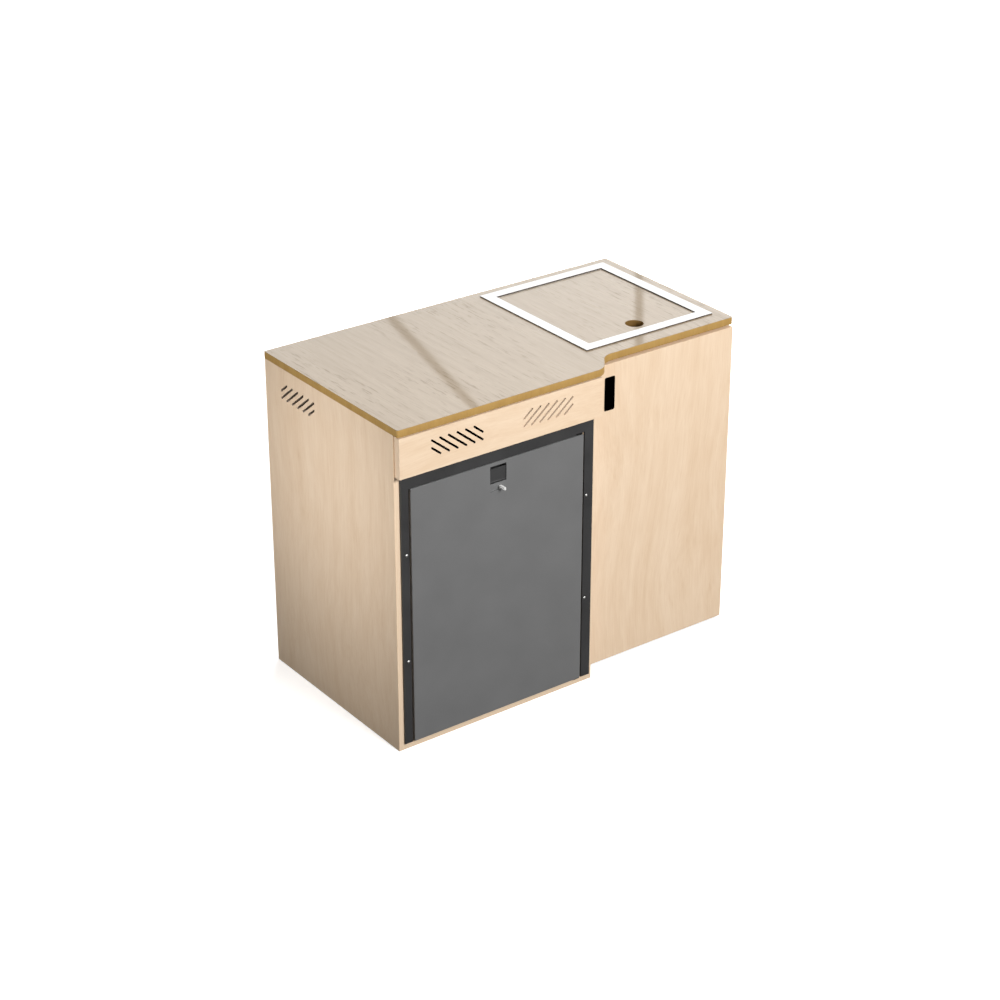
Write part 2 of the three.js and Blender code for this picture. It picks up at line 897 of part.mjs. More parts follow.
// An open-fronted box of thin sheet under the liner's ceiling.
function evaporatorBox() {
  const half = linerHalf - evaporatorSideGap;
  const front = shelfFront + evaporatorSheet;
  const bottom = linerCeiling - evaporatorHeight;
  const back = linerBack - evaporatorBackGap;
  const inner = half - evaporatorSheet;
  const box = cut(
    block([-half, half], [front, back], [bottom, linerCeiling]),
    block(
      [-inner, inner],
      [front - overrun, back - evaporatorSheet],
      [bottom + evaporatorSheet, linerCeiling - evaporatorSheet],
    ),
  );
  return piece("evaporator_box", box, sheetAluminium());
}

function compressor() {
  const radius = unitDepth / 2;
  const footTop = trayThickness + compressorFootHeight;
  const top = footTop + compressorHeight;
  const dome = turned([
    [0, 0],
    [compressorFootRadius, 0],
    [compressorFootRadius, footTop],
    [radius, footTop + compressorFootHeight],
    [radius, top - compressorShoulder],
    [radius - compressorShoulder, top],
    [0, top],
  ]).translate(-compressorOffset, unitMiddle, 0);
  const tray = block([-cavityHalf, cavityHalf], [trayFront, fridgeDepth], [0, trayThickness]);
  return piece("compressor", join(tray, dome), blackEnamel());
}

function condenser() {
  const deep = about(unitMiddle, unitDepth);
  const [left, right] = about(compressorOffset, condenserWidth);
  const pitch = (right - left - condenserFin) / (condenserFins - 1);
  const spineHeight = trayThickness + condenserHeight / 2;
  const bars = [block([left, right], about(unitMiddle, condenserSpine), about(spineHeight, condenserSpine))];
  for (let i = 0; i < condenserFins; i += 1) {
    const fin = [left + i * pitch, left + i * pitch + condenserFin];
    bars.push(block(fin, deep, [trayThickness, trayThickness + condenserHeight]));
  }
  return piece("condenser", join(...bars), sheetAluminium());
}

// Fridge hinges: a pin on a plate above the door, and one below it

const doorBottomHere = fridgeDoorBottom - fridgeBottom;
const doorTopHere = doorBottomHere + fridgeDoorHeight;
const hingePlateX = [fridgeAxisX - hingePlateReach, fridgeAxisX + hingePlateHalfWidth];
const hingePlateFront = fridgeAxisY - hingePlateHalfWidth;

function fridgePin(from, to) {
  return rod("z", fridgePinRadius, from, to, 16).translate(fridgeAxisX, fridgeAxisY, 0);
}

function upperFridgeHinge() {
  const bottom = doorTopHere + upperHingeGap;
  const top = bottom + upperHingePlate;
  const plate = block(hingePlateX, [hingePlateFront, hingeTail], [bottom, top]);
  const foot = block(hingePlateX, [0, hingeTail], [fridgeHeight, top]);
  const hinge = join(plate, foot, fridgePin(doorTopHere - fridgePinReach, top));
  return piece("fridge_hinge_upper", hinge, blackEnamel());
}

function lowerFridgeHinge() {
  const plate = block(hingePlateX, [hingePlateFront, 0], [0, lowerHingePlate]);
  const hinge = join(plate, fridgePin(0, doorBottomHere + fridgePinReach));
  return piece("fridge_hinge_lower", hinge, blackEnamel());
}

// Fridge door, in a frame on its hinge axis at the door's bottom

const doorLeft = fridgeHingeInset - fridgeDoorWidth;
const doorRight = fridgeHingeInset;
const doorFront = -fridgeHingeInset;
const doorBack = doorFront + fridgeDoorThickness;
const doorMiddle = (doorLeft + doorRight) / 2;
const recessX = doorMiddle - recessOffset;
const recessTop = fridgeDoorHeight - recessDrop;
const recessBottom = recessTop - recessHeight;
const recessBack = doorFront + recessDepth;
const boltY = (doorFront + recessBack) / 2;
const lockSlotTop = recessBottom - lockSlotDrop;
const lockSlotBottom = lockSlotTop - lockSlotHeight;
const lockSlotX = about(doorMiddle - lockSlotOffset, lockSlotWidth);

function boltChannel(from, to) {
  return block(
    about(recessX, latchBoltWidth + 2 * latchBoltGap),
    about(boltY, latchBoltThickness + 2 * latchBoltGap),
    [from, to],
  );
}

function fridgeDoorPanel() {
  const outline = roundedRectangle([doorLeft, doorRight], [0, fridgeDoorHeight], fridgeDoorCorner);
  const pinHole = fridgePinRadius + pinHoleGap;
  const pinDepth = fridgePinReach + pinHoleGap;
  const door = cut(
    extrude(outline, "y", doorFront, doorBack, 3),
    block(
      about(recessX, recessWidth + 2 * latchWall),
      [doorFront - overrun, recessBack + latchWall],
      [recessBottom - latchWall, recessTop + latchWall],
    ),
    boltChannel(recessTop, fridgeDoorHeight + overrun),
    block(lockSlotX, [doorFront - overrun, doorFront + lockSlotDepth], [lockSlotBottom, lockSlotTop]),
    rod("z", pinHole, -overrun, pinDepth, 16),
    rod("z", pinHole, fridgeDoorHeight - pinDepth, fridgeDoorHeight + overrun, 16),
  );
  return piece("fridge_door_panel", door, greyDoorSkin());
}

function latchHousing() {
  const housing = cut(
    block(
      about(recessX, recessWidth + 2 * latchWall),
      [doorFront, recessBack + latchWall],
      [recessBottom - latchWall, recessTop + latchWall],
    ),
    block(about(recessX, recessWidth), [doorFront - overrun, recessBack], [recessBottom, recessTop]),
    boltChannel(recessTop - overrun, recessTop + latchWall + overrun),
  );
  return piece("latch_housing", housing, charcoalPlastic());
}

// The flap closes the recess up to a finger gap and tilts in about a pivot at its foot.
function latchFlap() {
  const across = about(0, recessWidth - 2 * flapGap);
  const height = recessHeight - flapTopGap - flapGap - flapPivotRadius;
  const plate = block(across, about(0, flapThickness), [0, height]);
  const pivot = rod("x", flapPivotRadius, across[0], across[1], 12);
  return group(
    recessX,
    doorFront + flapSetback + flapThickness / 2,
    recessBottom + flapGap + flapPivotRadius,
    piece("latch_flap", join(plate, pivot), charcoalPlastic()),
  );
}

function latchBolt() {
  const bolt = block(
    about(0, latchBoltWidth),
    about(0, latchBoltThickness),
    [latchBoltGap - recessDrop, latchBoltShow],
  );
  return group(recessX, boltY, fridgeDoorHeight, piece("latch_bolt", bolt, charcoalPlastic()));
}

// The lever's base runs in the slot from its right end; its tab reaches out to the front.
function lockLever() {
  const base = block(
    about(0, lockBaseWidth),
    [doorFront + overrun, doorFront + lockSlotDepth - lockGap],
    about(0, lockSlotHeight - 2 * lockGap),
  );
  const tabOutline = roundedRectangle(
    about(0, lockTabWidth),
    [doorFront - lockReach, doorFront + lockSlotDepth / 2],
    lockTabWidth / 3,
  );
  const tabTop = lockSlotHeight / 2 - lockGap;
  const tab = extrude(tabOutline, "z", tabTop - lockTabHeight, tabTop, 5);
  return group(
    lockSlotX[1] - lockGap - lockBaseWidth / 2,
    0,
    (lockSlotBottom + lockSlotTop) / 2,
    piece("lock_lever", join(base, tab), whitePlastic()),
  );
}

function doorSeal() {
  const outer = sealInset;
  const inner = sealInset + sealWidth;
  const outline = rectangle([doorLeft + outer, doorRight - outer], [outer, fridgeDoorHeight - outer]);
  const hole = rectangle([doorLeft + inner, doorRight - inner], [inner, fridgeDoorHeight - inner]);
  outline.holes.push(hole);
  return piece("fridge_door_seal", extrude(outline, "y", doorBack, doorBack + sealThickness), blackRubber());
}

// The dyke is the raised ring that fills the cavity's mouth; the bins hang between its sides.
const plateBack = doorBack + doorLinerThickness;
const dykeLeft = -fridgeAxisX - linerHalf + dykeGap;
const dykeRight = -fridgeAxisX + linerHalf - dykeGap;
const dykeBottom = linerFloor + dykeGap - doorBottomHere;
const dykeTop = linerCeiling - dykeGap - doorBottomHere;

function doorLiner() {
  const edge = sealInset + sealWidth + doorLinerGap;
  const plate = block(
    [doorLeft + edge, doorRight - edge],
    [doorBack, plateBack],
    [edge, fridgeDoorHeight - edge],
  );
  const outline = rectangle([dykeLeft, dykeRight], [dykeBottom, dykeTop]);
  const hole = rectangle(
    [dykeLeft + dykeWall, dykeRight - dykeWall],
    [dykeBottom + dykeWall, dykeTop - dykeWall],
  );
  outline.holes.push(hole);
  const dyke = extrude(outline, "y", doorBack, plateBack + dykeDepth);
  return piece("fridge_door_liner", join(plate, dyke), whitePlastic());
}

function doorBin(name, place) {
  const bottom = dykeBottom + dykeWall + place;
  const left = dykeLeft + dykeWall;
  const right = dykeRight - dykeWall;
  const bin = cut(
    block([left, right], [plateBack, plateBack + binDepth], [bottom, bottom + doorBinHeight]),
    block(
      [left + binWall, right - binWall],
      [plateBack + binWall, plateBack + binDepth - binWall],
      [bottom + binWall, bottom + doorBinHeight + overrun],
    ),
  );
  return piece(name, bin, whitePlastic());
}

function fridgeDoor() {
  return group(
    fridgeAxisX,
    fridgeAxisY,
    doorBottomHere,
    fridgeDoorPanel(),
    latchHousing(),
    latchFlap(),
    latchBolt(),
    lockLever(),
    doorSeal(),
    doorLiner(),
    doorBin("door_bin_lower", lowerBinPlace),
    doorBin("door_bin_upper", upperBinPlace),
  );
}

function fridge() {
  return group(
    bayCentre,
    fridgeFront,
    fridgeBottom,
    fridgeCabinet(),
    fridgeLiner(),
    ...fridgeShelves.map(fridgeShelf),
    evaporatorBox(),
    compressor(),
    condenser(),
    upperFridgeHinge(),
    lowerFridgeHinge(),
    fridgeDoor(),
  );
}

// Flange, in a frame on the floor at the face that it seats against

const flangeOpening = fridgeDoorWidth + 2 * fridgeDoorGap;
const flangeLeft = -flangeOpening / 2 - flangeLeftStrip;
const flangeRight = flangeOpening / 2 + flangeRightStrip;
const screwReach = (bayWidth - battenWidth) / 2;

function fridgeFlange() {
  const outline = rectangle([flangeLeft, flangeRight], [flangeBottom, flangeTop]);
  const opening = rectangle(
    [-flangeOpening / 2, flangeOpening / 2],
    [flangeBottom - overrun, flangeLintel],
  );
  const hingeNotch = rectangle(
    [hingePlateX[0] - hingeNotchGap, flangeOpening / 2],
    [flangeLintel - overrun, fridgeDoorTop + fridgeDoorGap],
  );
  const holes = flangeScrewPlaces().map(([x, height]) =>
    rod("y", screwShankRadius + screwHoleGap, -flangeThickness - overrun, overrun, 12).translate(x, 0, height),
  );
  const frame = cut(
    extrude(outline, "y", -flangeThickness, 0),
    extrude(opening, "y", -flangeThickness - overrun, overrun),
    extrude(hingeNotch, "y", -flangeThickness - overrun, overrun),
    ...holes,
  );
  return piece("fridge_flange", frame, charcoalPlastic());
}

function flangeScrewPlaces() {
  return [-screwReach, screwReach].flatMap((x) => screwHeights.map((height) => [x, height]));
}

function flangeScrew([x, height], index) {
  const headBack = -flangeThickness;
  const head = rod("y", screwHeadRadius, headBack - screwHeadHeight, headBack, 16);
  const shank = rod("y", screwShankRadius, headBack - screwHeadHeight, screwLength - seatGap - overrun, 12);
  const screw = piece(`flange_screw_${index + 1}`, join(head, shank), brightSteel());
  screw.position.set(x, 0, height);
  return screw;
}

function flange() {
  return group(
    bayCentre,
    carcassFront - seatGap,
    0,
    fridgeFlange(),
    ...flangeScrewPlaces().map(flangeScrew),
  );
}

// Cupboard door, in a frame on its hinge axis at the floor

const cupboardAxisX = rightFace + barrelGap + barrelRadius;
const cupboardDoorLeft = dividerRight + cupboardDoorSideGap - cupboardAxisX;
const cupboardDoorRight = rightFace - cupboardAxisX;
const cupboardDoorTop = panelTop - cupboardDoorTopGap;
const catchX = cupboardDoorLeft + catchInset + catchWidth / 2;
const catchCentreHeight = cupboardDoorTop - catchDrop - catchHeight / 2;
const tubWidth = catchWidth - 2 * bezelStrip;
const tubHeight = catchHeight - 2 * bezelStrip;
const catchOpening = tubWidth - 2 * catchWall;
const catchOpeningHeight = tubHeight - 2 * catchWall;
const tubBack = boardThickness + catchBackReach;
const catchBoltY = boardThickness + hingeSpace + boardThickness / 2;

function cupboardDoorPanel() {
  const panel = cut(
    block([cupboardDoorLeft, cupboardDoorRight], [-boardThickness, 0], [cupboardDoorFoot, cupboardDoorTop]),
    block(about(catchX, tubWidth), [-boardThickness - overrun, overrun], about(catchCentreHeight, tubHeight)),
  );
  return piece("cupboard_door", panel, lightPlywood());
}

// Catch, in a frame on the door's front face at the catch's centre

function catchHousing() {
  const bezel = roundedRectangle(about(0, catchWidth), about(0, catchHeight), catchCorner);
  const tub = join(
    extrude(bezel, "y", -bezelProud, 0, 5),
    block(about(0, tubWidth), [-bezelProud, tubBack], about(0, tubHeight)),
  );
  const housing = cut(
    tub,
    block(
      about(0, catchOpening),
      [-bezelProud - overrun, catchFrontDepth],
      about(0, catchOpeningHeight),
    ),
    block(
      [-tubWidth / 2 - overrun, catchOpening / 2],
      about(catchBoltY, catchBoltThickness + 2 * catchBoltGap),
      about(0, catchBoltHeight + 2 * catchBoltGap),
    ),
  );
  return piece("catch_housing", housing, blackPlastic());
}

// The paddle tilts out at the bottom about its round top edge, and has a finger scoop at its foot.
function catchPaddle() {
  const across = about(0, catchOpening - 2 * paddleGap);
  const length = catchOpeningHeight - 2 * paddleGap - paddlePivotRadius;
  const thick = [-paddlePivotRadius, paddlePivotRadius];
  const paddle = cut(
    join(block(across, thick, [-length, 0]), rod("x", paddlePivotRadius, across[0], across[1], 16)),
    block(
      [across[0] + scoopSideWall, across[1] - scoopSideWall],
      [-paddlePivotRadius - overrun, scoopDepth - paddlePivotRadius],
      [scoopInset - length, scoopInset + scoopHeight - length],
    ),
  );
  return group(
    0,
    paddlePivotRadius - bezelProud,
    catchOpeningHeight / 2 - paddleGap - paddlePivotRadius,
    piece("catch_paddle", paddle, blackPlastic()),
  );
}

function catchBolt() {
  const keeperFace = dividerRight + stopWidth + keeperThickness - cupboardAxisX - catchX;
  const bolt = block(
    [keeperFace + catchTipGap, catchOpening / 2 - catchBoltGap - catchBoltTravel],
    about(0, catchBoltThickness),
    about(0, catchBoltHeight),
  );
  return group(0, catchBoltY, 0, piece("catch_bolt", bolt, blackPlastic()));
}

// Butt hinges: each leaf lies in the space between the door's back and the panel's front edge

const knuckle = hingeLength / 3;

function hingeBore() {
  return rod("z", hingePinRadius + hingePinGap, -hingeLength, hingeLength, 12);
}

function hingeFrameLeaf(name) {
  const webLeft = cupboardRight - cupboardAxisX;
  const webRight = webLeft + hingeWebWidth;
  const deep = [hingeSpace - hingeLeafThickness, hingeSpace];
  const low = [-hingeLength / 2, -knuckle / 2];
  const high = [knuckle / 2, hingeLength / 2];
  const leaf = join(
    block([webLeft, webRight], deep, [-hingeLength / 2, hingeLength / 2]),
    block([webLeft, 0], deep, low),
    block([webLeft, 0], deep, high),
    rod("z", barrelRadius, low[0], low[1], 16),
    rod("z", barrelRadius, high[0], high[1], 16),
  );
  return piece(name, cut(leaf, hingeBore()), brightSteel());
}

function hingeDoorLeaf(name) {
  const leafLeft = cupboardRight - cupboardAxisX + hingeWebWidth + knuckleGap;
  const half = knuckle / 2 - knuckleGap;
  const leaf = join(
    block([leafLeft, 0], [0, hingeLeafThickness], [-half, half]),
    rod("z", barrelRadius, -half, half, 16),
  );
  return piece(name, cut(leaf, hingeBore()), brightSteel());
}

function hingePin(name) {
  const top = hingeLength / 2;
  const pin = join(
    rod("z", hingePinRadius, -top, top + pinHeadHeight, 12),
    rod("z", pinHeadRadius, top, top + pinHeadHeight, 12),
  );
  return piece(name, pin, brightSteel());
}

const hingeHeights = {
  lower: cupboardDoorFoot + hingeEndInset,
  upper: cupboardDoorTop - hingeEndInset,
};

function fixedHingeHalf(place) {
  return group(
    cupboardAxisX,
    cupboardDoorBack,
    hingeHeights[place],
    hingeFrameLeaf(`hinge_${place}_frame_leaf`),
    hingePin(`hinge_${place}_pin`),
  );
}

function cupboardDoor() {
  return group(
    cupboardAxisX,
    cupboardDoorBack,
    0,
    cupboardDoorPanel(),
    group(0, 0, hingeHeights.lower, hingeDoorLeaf("hinge_lower_door_leaf")),
    group(0, 0, hingeHeights.upper, hingeDoorLeaf("hinge_upper_door_leaf")),
    group(catchX, -boardThickness, catchCentreHeight, catchHousing(), catchPaddle(), catchBolt()),
  );
}

// The whole pod

const pod = group(
  0,
  0,
  0,
  cabinet(),
  worktop(),
  basinGroup(),
  fridge(),
  flange(),
  fixedHingeHalf("lower"),
  fixedHingeHalf("upper"),
  cupboardDoor(),
);
pod.name = "campervan_kitchen_pod";

export default pod;
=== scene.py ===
"""Campervan kitchen pod: finishes, edge work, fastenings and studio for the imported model.

Metres, +Z up, the front towards -Y. Every board, fitting and moulding of the frame is dressed as a
copy with worked edges and a procedural finish; the stage is a pale studio with a camera in front.
"""

import json
import math

import bmesh
import bpy
from bpy.props import FloatProperty, FloatVectorProperty, PointerProperty
from mathutils import Matrix, Vector


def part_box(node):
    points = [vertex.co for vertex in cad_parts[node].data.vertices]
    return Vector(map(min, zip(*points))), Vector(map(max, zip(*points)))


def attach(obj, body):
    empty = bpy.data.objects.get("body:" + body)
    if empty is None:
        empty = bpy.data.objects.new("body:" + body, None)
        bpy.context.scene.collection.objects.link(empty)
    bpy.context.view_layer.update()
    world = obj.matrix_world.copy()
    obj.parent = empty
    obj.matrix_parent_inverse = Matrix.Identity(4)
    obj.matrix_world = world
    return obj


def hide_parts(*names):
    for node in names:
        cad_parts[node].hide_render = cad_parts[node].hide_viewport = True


bl_info = {
    "name": "Campervan kitchen pod",
    "version": (1, 0, 0),
    "blender": (4, 5, 0),
    "location": "3D View > Sidebar > Kitchen Pod",
    "description": "Dresses the kitchen pod's frame and sets its studio",
    "category": "Object",
}

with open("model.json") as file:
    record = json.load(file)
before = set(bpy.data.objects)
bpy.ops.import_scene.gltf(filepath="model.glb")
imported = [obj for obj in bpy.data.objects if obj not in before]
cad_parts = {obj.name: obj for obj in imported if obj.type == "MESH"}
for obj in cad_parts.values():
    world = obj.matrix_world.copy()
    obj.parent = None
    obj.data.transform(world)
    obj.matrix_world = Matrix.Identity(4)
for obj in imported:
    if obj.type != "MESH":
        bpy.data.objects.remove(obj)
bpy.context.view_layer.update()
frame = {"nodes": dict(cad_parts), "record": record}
NODES = frame["nodes"]

MM = 0.001


# Settings


def colour_setting(name, description, default):
    """A colour that a user may change, as a linear RGB property."""
    return FloatVectorProperty(
        name=name, description=description, subtype="COLOR", size=3, min=0.0, max=1.0, default=default
    )


def length_setting(name, description, default):
    """A length in metres that a user may change."""
    return FloatProperty(name=name, description=description, unit="LENGTH", min=0.0, default=default)


class PodColours(bpy.types.PropertyGroup):
    """Colours of the pod's finishes."""

    plywood: colour_setting("Plywood", "Lacquered face of the light plywood", (0.92, 0.738, 0.556))
    plywood_dark: colour_setting("Plywood grain", "Darker fibres of the plywood", (0.74, 0.53, 0.345))
    edge: colour_setting("Worktop edge", "Golden brown core of the worktop", (0.5, 0.31, 0.1))
    edge_dark: colour_setting("Edge grain", "Darker strips of the worktop's core", (0.37, 0.215, 0.06))
    laminate: colour_setting("Laminate", "Grey-beige face of the worktop", (0.52, 0.421, 0.31))
    laminate_dark: colour_setting("Laminate grain", "Fine dashes in the laminate", (0.26, 0.185, 0.11))
    basin: colour_setting("Basin", "White enamel of the basin", (0.95, 0.95, 0.945))
    charcoal: colour_setting("Charcoal", "Fridge flange and latch recess", (0.028, 0.028, 0.029))
    door: colour_setting("Fridge door", "Grey skin of the fridge door", (0.165, 0.167, 0.17))
    black: colour_setting("Black plastic", "Cupboard catch", (0.0006, 0.0006, 0.0006))
    white: colour_setting("White plastic", "Liner, bins and lever", (0.85, 0.85, 0.84))
    steel: colour_setting("Steel", "Screws, hinges and wire shelves", (0.62, 0.62, 0.61))


class PodEdges(bpy.types.PropertyGroup):
    """How far the pod's edges are eased."""

    board: length_setting("Board edge", "Eased edge of the plywood boards", 0.6 * MM)
    worktop: length_setting("Worktop edge", "Eased edge of the laminate", 0.5 * MM)
    moulding: length_setting("Moulding edge", "Round edge of moulded plastic", 0.8 * MM)
    skin: length_setting("Door skin edge", "Folded edge of the fridge door's skin", 1.2 * MM)
    metal: length_setting("Metal edge", "Broken edge of cut metal", 0.25 * MM)
    basin: length_setting("Basin edge", "Round edge of the basin's rim", 0.9 * MM)


class PodStudio(bpy.types.PropertyGroup):
    """Camera, floor and lamps."""

    azimuth: FloatProperty(
        name="Azimuth", description="Camera angle round the pod", subtype="ANGLE",
        default=math.radians(-36.47),
    )
    elevation: FloatProperty(
        name="Elevation", description="Camera angle above the floor", subtype="ANGLE",
        default=math.radians(26.54),
    )
    place: FloatVectorProperty(
        name="Camera place", description="Where the camera stands", subtype="TRANSLATION", size=3,
        default=(-3.1088, -4.1675, 2.9894),
    )
    lens: FloatProperty(name="Lens", description="Focal length in millimetres", min=1.0, default=87.33)
    key: FloatProperty(name="Key lamp", description="Power of the key lamp", unit="POWER", default=157.0)
    fill: FloatProperty(name="Fill lamp", description="Power of the fill lamp", unit="POWER", default=1.87)
    back: FloatProperty(name="Back lamp", description="Power of the back lamp", unit="POWER", default=24.0)
    rear: FloatProperty(name="Rear lamp", description="Power of the rear lamp", unit="POWER", default=95.0)
    sky: FloatProperty(name="Sky", description="Strength of the pale surroundings", min=0.0, default=0.4)
    gloss: FloatProperty(name="Gloss", description="What glossy surfaces mirror", min=0.0, default=1.6)
    floor_size: length_setting("Floor", "Width of the floor", 24.0)


def pod_settings():
    """The colours, edges and studio of the scene."""
    scene = bpy.context.scene
    return scene.pod_colours, scene.pod_edges, scene.pod_studio


# Node helpers


def add_node(tree, kind, options=None, **inputs):
    """A new node with its own settings and input values; underscores in input names stand for spaces."""
    node = tree.nodes.new(kind)
    for name, value in (options or {}).items():
        setattr(node, name, value)
    for name, value in inputs.items():
        node.inputs[name.replace("_", " ")].default_value = value
    return node


def rgba(colour):
    """A linear colour with full alpha."""
    return (*colour, 1.0)


def number_input(name, default):
    """A group's input that takes a number."""
    return (name, "NodeSocketFloat", default)


PLACE = ("Vector", "NodeSocketVector", None)
LIGHT = ("Light", "NodeSocketColor", (1, 1, 1, 1))
DARK = ("Dark", "NodeSocketColor", (0, 0, 0, 1))
BASE = ("Base", "NodeSocketColor", (1, 1, 1, 1))
RESULTS = (("Color", "NodeSocketColor"), ("Roughness", "NodeSocketFloat"), ("Height", "NodeSocketFloat"))

# The middle of a noise's values, where nearly all of them lie
NOISE_LOW, NOISE_HIGH = 0.3, 0.7


def group_tree(name, inputs):
    """An empty node group with its inputs and the shared results, and its input and output nodes."""
    tree = bpy.data.node_groups.new(name, "ShaderNodeTree")
    for socket_name, socket_type, default in inputs:
        socket = tree.interface.new_socket(socket_name, in_out="INPUT", socket_type=socket_type)
        if default is not None:
            socket.default_value = default
    for socket_name, socket_type in RESULTS:
        tree.interface.new_socket(socket_name, in_out="OUTPUT", socket_type=socket_type)
    return tree, tree.nodes.new("NodeGroupInput"), tree.nodes.new("NodeGroupOutput")


def hand_over(tree, result, *sockets):
    """Joins a colour, a roughness and a height to a group's output."""
    for socket, (name, _) in zip(sockets, RESULTS):
        tree.links.new(socket, result.inputs[name])
    return tree


def feed(tree, node, values):
    """Gives a node its inputs in order, each a socket or a plain value."""
    for place, value in enumerate(values):
        if isinstance(value, bpy.types.NodeSocket):
            tree.links.new(value, node.inputs[place])
        else:
            node.inputs[place].default_value = value
    return node


def combine(tree, operation, *values, clamp=False):
    """Numbers put together by a Math node."""
    node = add_node(tree, "ShaderNodeMath", {"operation": operation, "use_clamp": clamp})
    return feed(tree, node, values).outputs[0]


def vectors(tree, operation, *values):
    """Vectors put together by a Vector Math node."""
    return feed(tree, add_node(tree, "ShaderNodeVectorMath", {"operation": operation}), values)


def ranged(tree, value, low, high, least=0.0, most=1.0, options=None):
    """A value between low and high, spread from least to most and held there."""
    spread = add_node(
        tree, "ShaderNodeMapRange", options, From_Min=low, From_Max=high, To_Min=least, To_Max=most,
    )
    tree.links.new(value, spread.inputs["Value"])
    return spread.outputs["Result"]


def stretched_noise(tree, vector, scale, detail, roughness=0.55):
    """Noise stretched by a mapping of its own."""
    mapping = add_node(tree, "ShaderNodeMapping", {"vector_type": "POINT"}, Scale=scale)
    noise = add_node(tree, "ShaderNodeTexNoise", None, Scale=1.0, Detail=detail, Roughness=roughness)
    tree.links.new(vector, mapping.inputs["Vector"])
    tree.links.new(mapping.outputs["Vector"], noise.inputs["Vector"])
    return noise


def noise_through(tree, vector, scale, detail, low, high):
    """Stretched noise, spread between a low and a high value to 0 to 1."""
    return ranged(tree, stretched_noise(tree, vector, scale, detail).outputs["Fac"], low, high)


def two_tones(tree, source, amount):
    """A group's light colour, moved by an amount to its dark one."""
    colour = add_node(tree, "ShaderNodeMix", {"data_type": "RGBA"})
    tree.links.new(amount, colour.inputs[0])
    tree.links.new(source.outputs["Light"], colour.inputs[6])
    tree.links.new(source.outputs["Dark"], colour.inputs[7])
    return colour.outputs[2]


def toned(tree, source, value):
    """A group's base colour, made lighter or darker by a value round 1."""
    tint = add_node(tree, "ShaderNodeHueSaturation", None)
    tree.links.new(source.outputs["Base"], tint.inputs["Color"])
    tree.links.new(value, tint.inputs["Value"])
    return tint.outputs["Color"]


def weighted(tree, first, first_share, second, second_share):
    """The sum of two values, each with its own share."""
    return combine(
        tree, "ADD", combine(tree, "MULTIPLY", first, first_share),
        combine(tree, "MULTIPLY", second, second_share),
    )


def wood_grain_group():
    """Wood seen along Z: wandering figure, soft mottles, fine fibres and short warm flecks."""
    inputs = (PLACE, LIGHT, DARK, number_input("Figure", 0.5), number_input("Fibre", 0.5))
    tree, source, result = group_tree("Pod wood grain", inputs)
    straight = source.outputs["Vector"]
    wander = stretched_noise(tree, straight, (2.5, 2.5, 1.4), 1.0, 0.5).outputs["Color"]
    push = vectors(tree, "MULTIPLY", wander, (0.16, 0.16, 0.0)).outputs["Vector"]
    bent = vectors(tree, "ADD", straight, push).outputs["Vector"]
    figure = noise_through(tree, bent, (26.0, 26.0, 1.6), 3.0, NOISE_LOW, NOISE_HIGH)
    mottle = noise_through(tree, bent, (55.0, 55.0, 11.0), 3.0, 0.35, NOISE_HIGH)
    fibre = noise_through(tree, bent, (330.0, 330.0, 9.0), 3.0, NOISE_LOW, NOISE_HIGH)
    fleck = noise_through(tree, bent, (190.0, 190.0, 24.0), 2.0, 0.58, 0.8)
    slow = combine(tree, "MULTIPLY", weighted(tree, figure, 0.6, mottle, 0.4), source.outputs["Figure"])
    quick = combine(tree, "MULTIPLY", weighted(tree, fibre, 0.65, fleck, 0.6), source.outputs["Fibre"])
    total = combine(tree, "ADD", slow, quick, clamp=True)
    return hand_over(
        tree, result, two_tones(tree, source, total), ranged(tree, total, 0.0, 1.0, 0.42, 0.6),
        combine(tree, "SUBTRACT", 1.0, quick),
    )


def dash_group():
    """Laminate seen along Y: short fine dashes, scattered in soft cloudy patches."""
    inputs = (PLACE, LIGHT, DARK, number_input("Amount", 0.5))
    tree, source, result = group_tree("Pod laminate dashes", inputs)
    place = source.outputs["Vector"]
    dashes = stretched_noise(tree, place, (250.0, 22.0, 250.0), 2.0, 0.5).outputs["Fac"]
    patches = stretched_noise(tree, place, (9.0, 2.2, 9.0), 2.0, 0.5).outputs["Fac"]
    streaks = stretched_noise(tree, place, (70.0, 4.0, 70.0), 3.0, 0.6).outputs["Fac"]
    sharp = ranged(tree, dashes, 0.56, 0.70)
    marked = combine(tree, "MULTIPLY", sharp, ranged(tree, patches, 0.35, 0.65, 0.1))
    both = combine(tree, "ADD", marked, ranged(tree, streaks, NOISE_LOW, 0.75, 0.0, 0.5), clamp=True)
    amount = combine(tree, "MULTIPLY", both, source.outputs["Amount"])
    return hand_over(
        tree, result, two_tones(tree, source, amount), ranged(tree, both, 0.0, 1.0, 0.26, 0.42),
        combine(tree, "SUBTRACT", 1.0, both),
    )


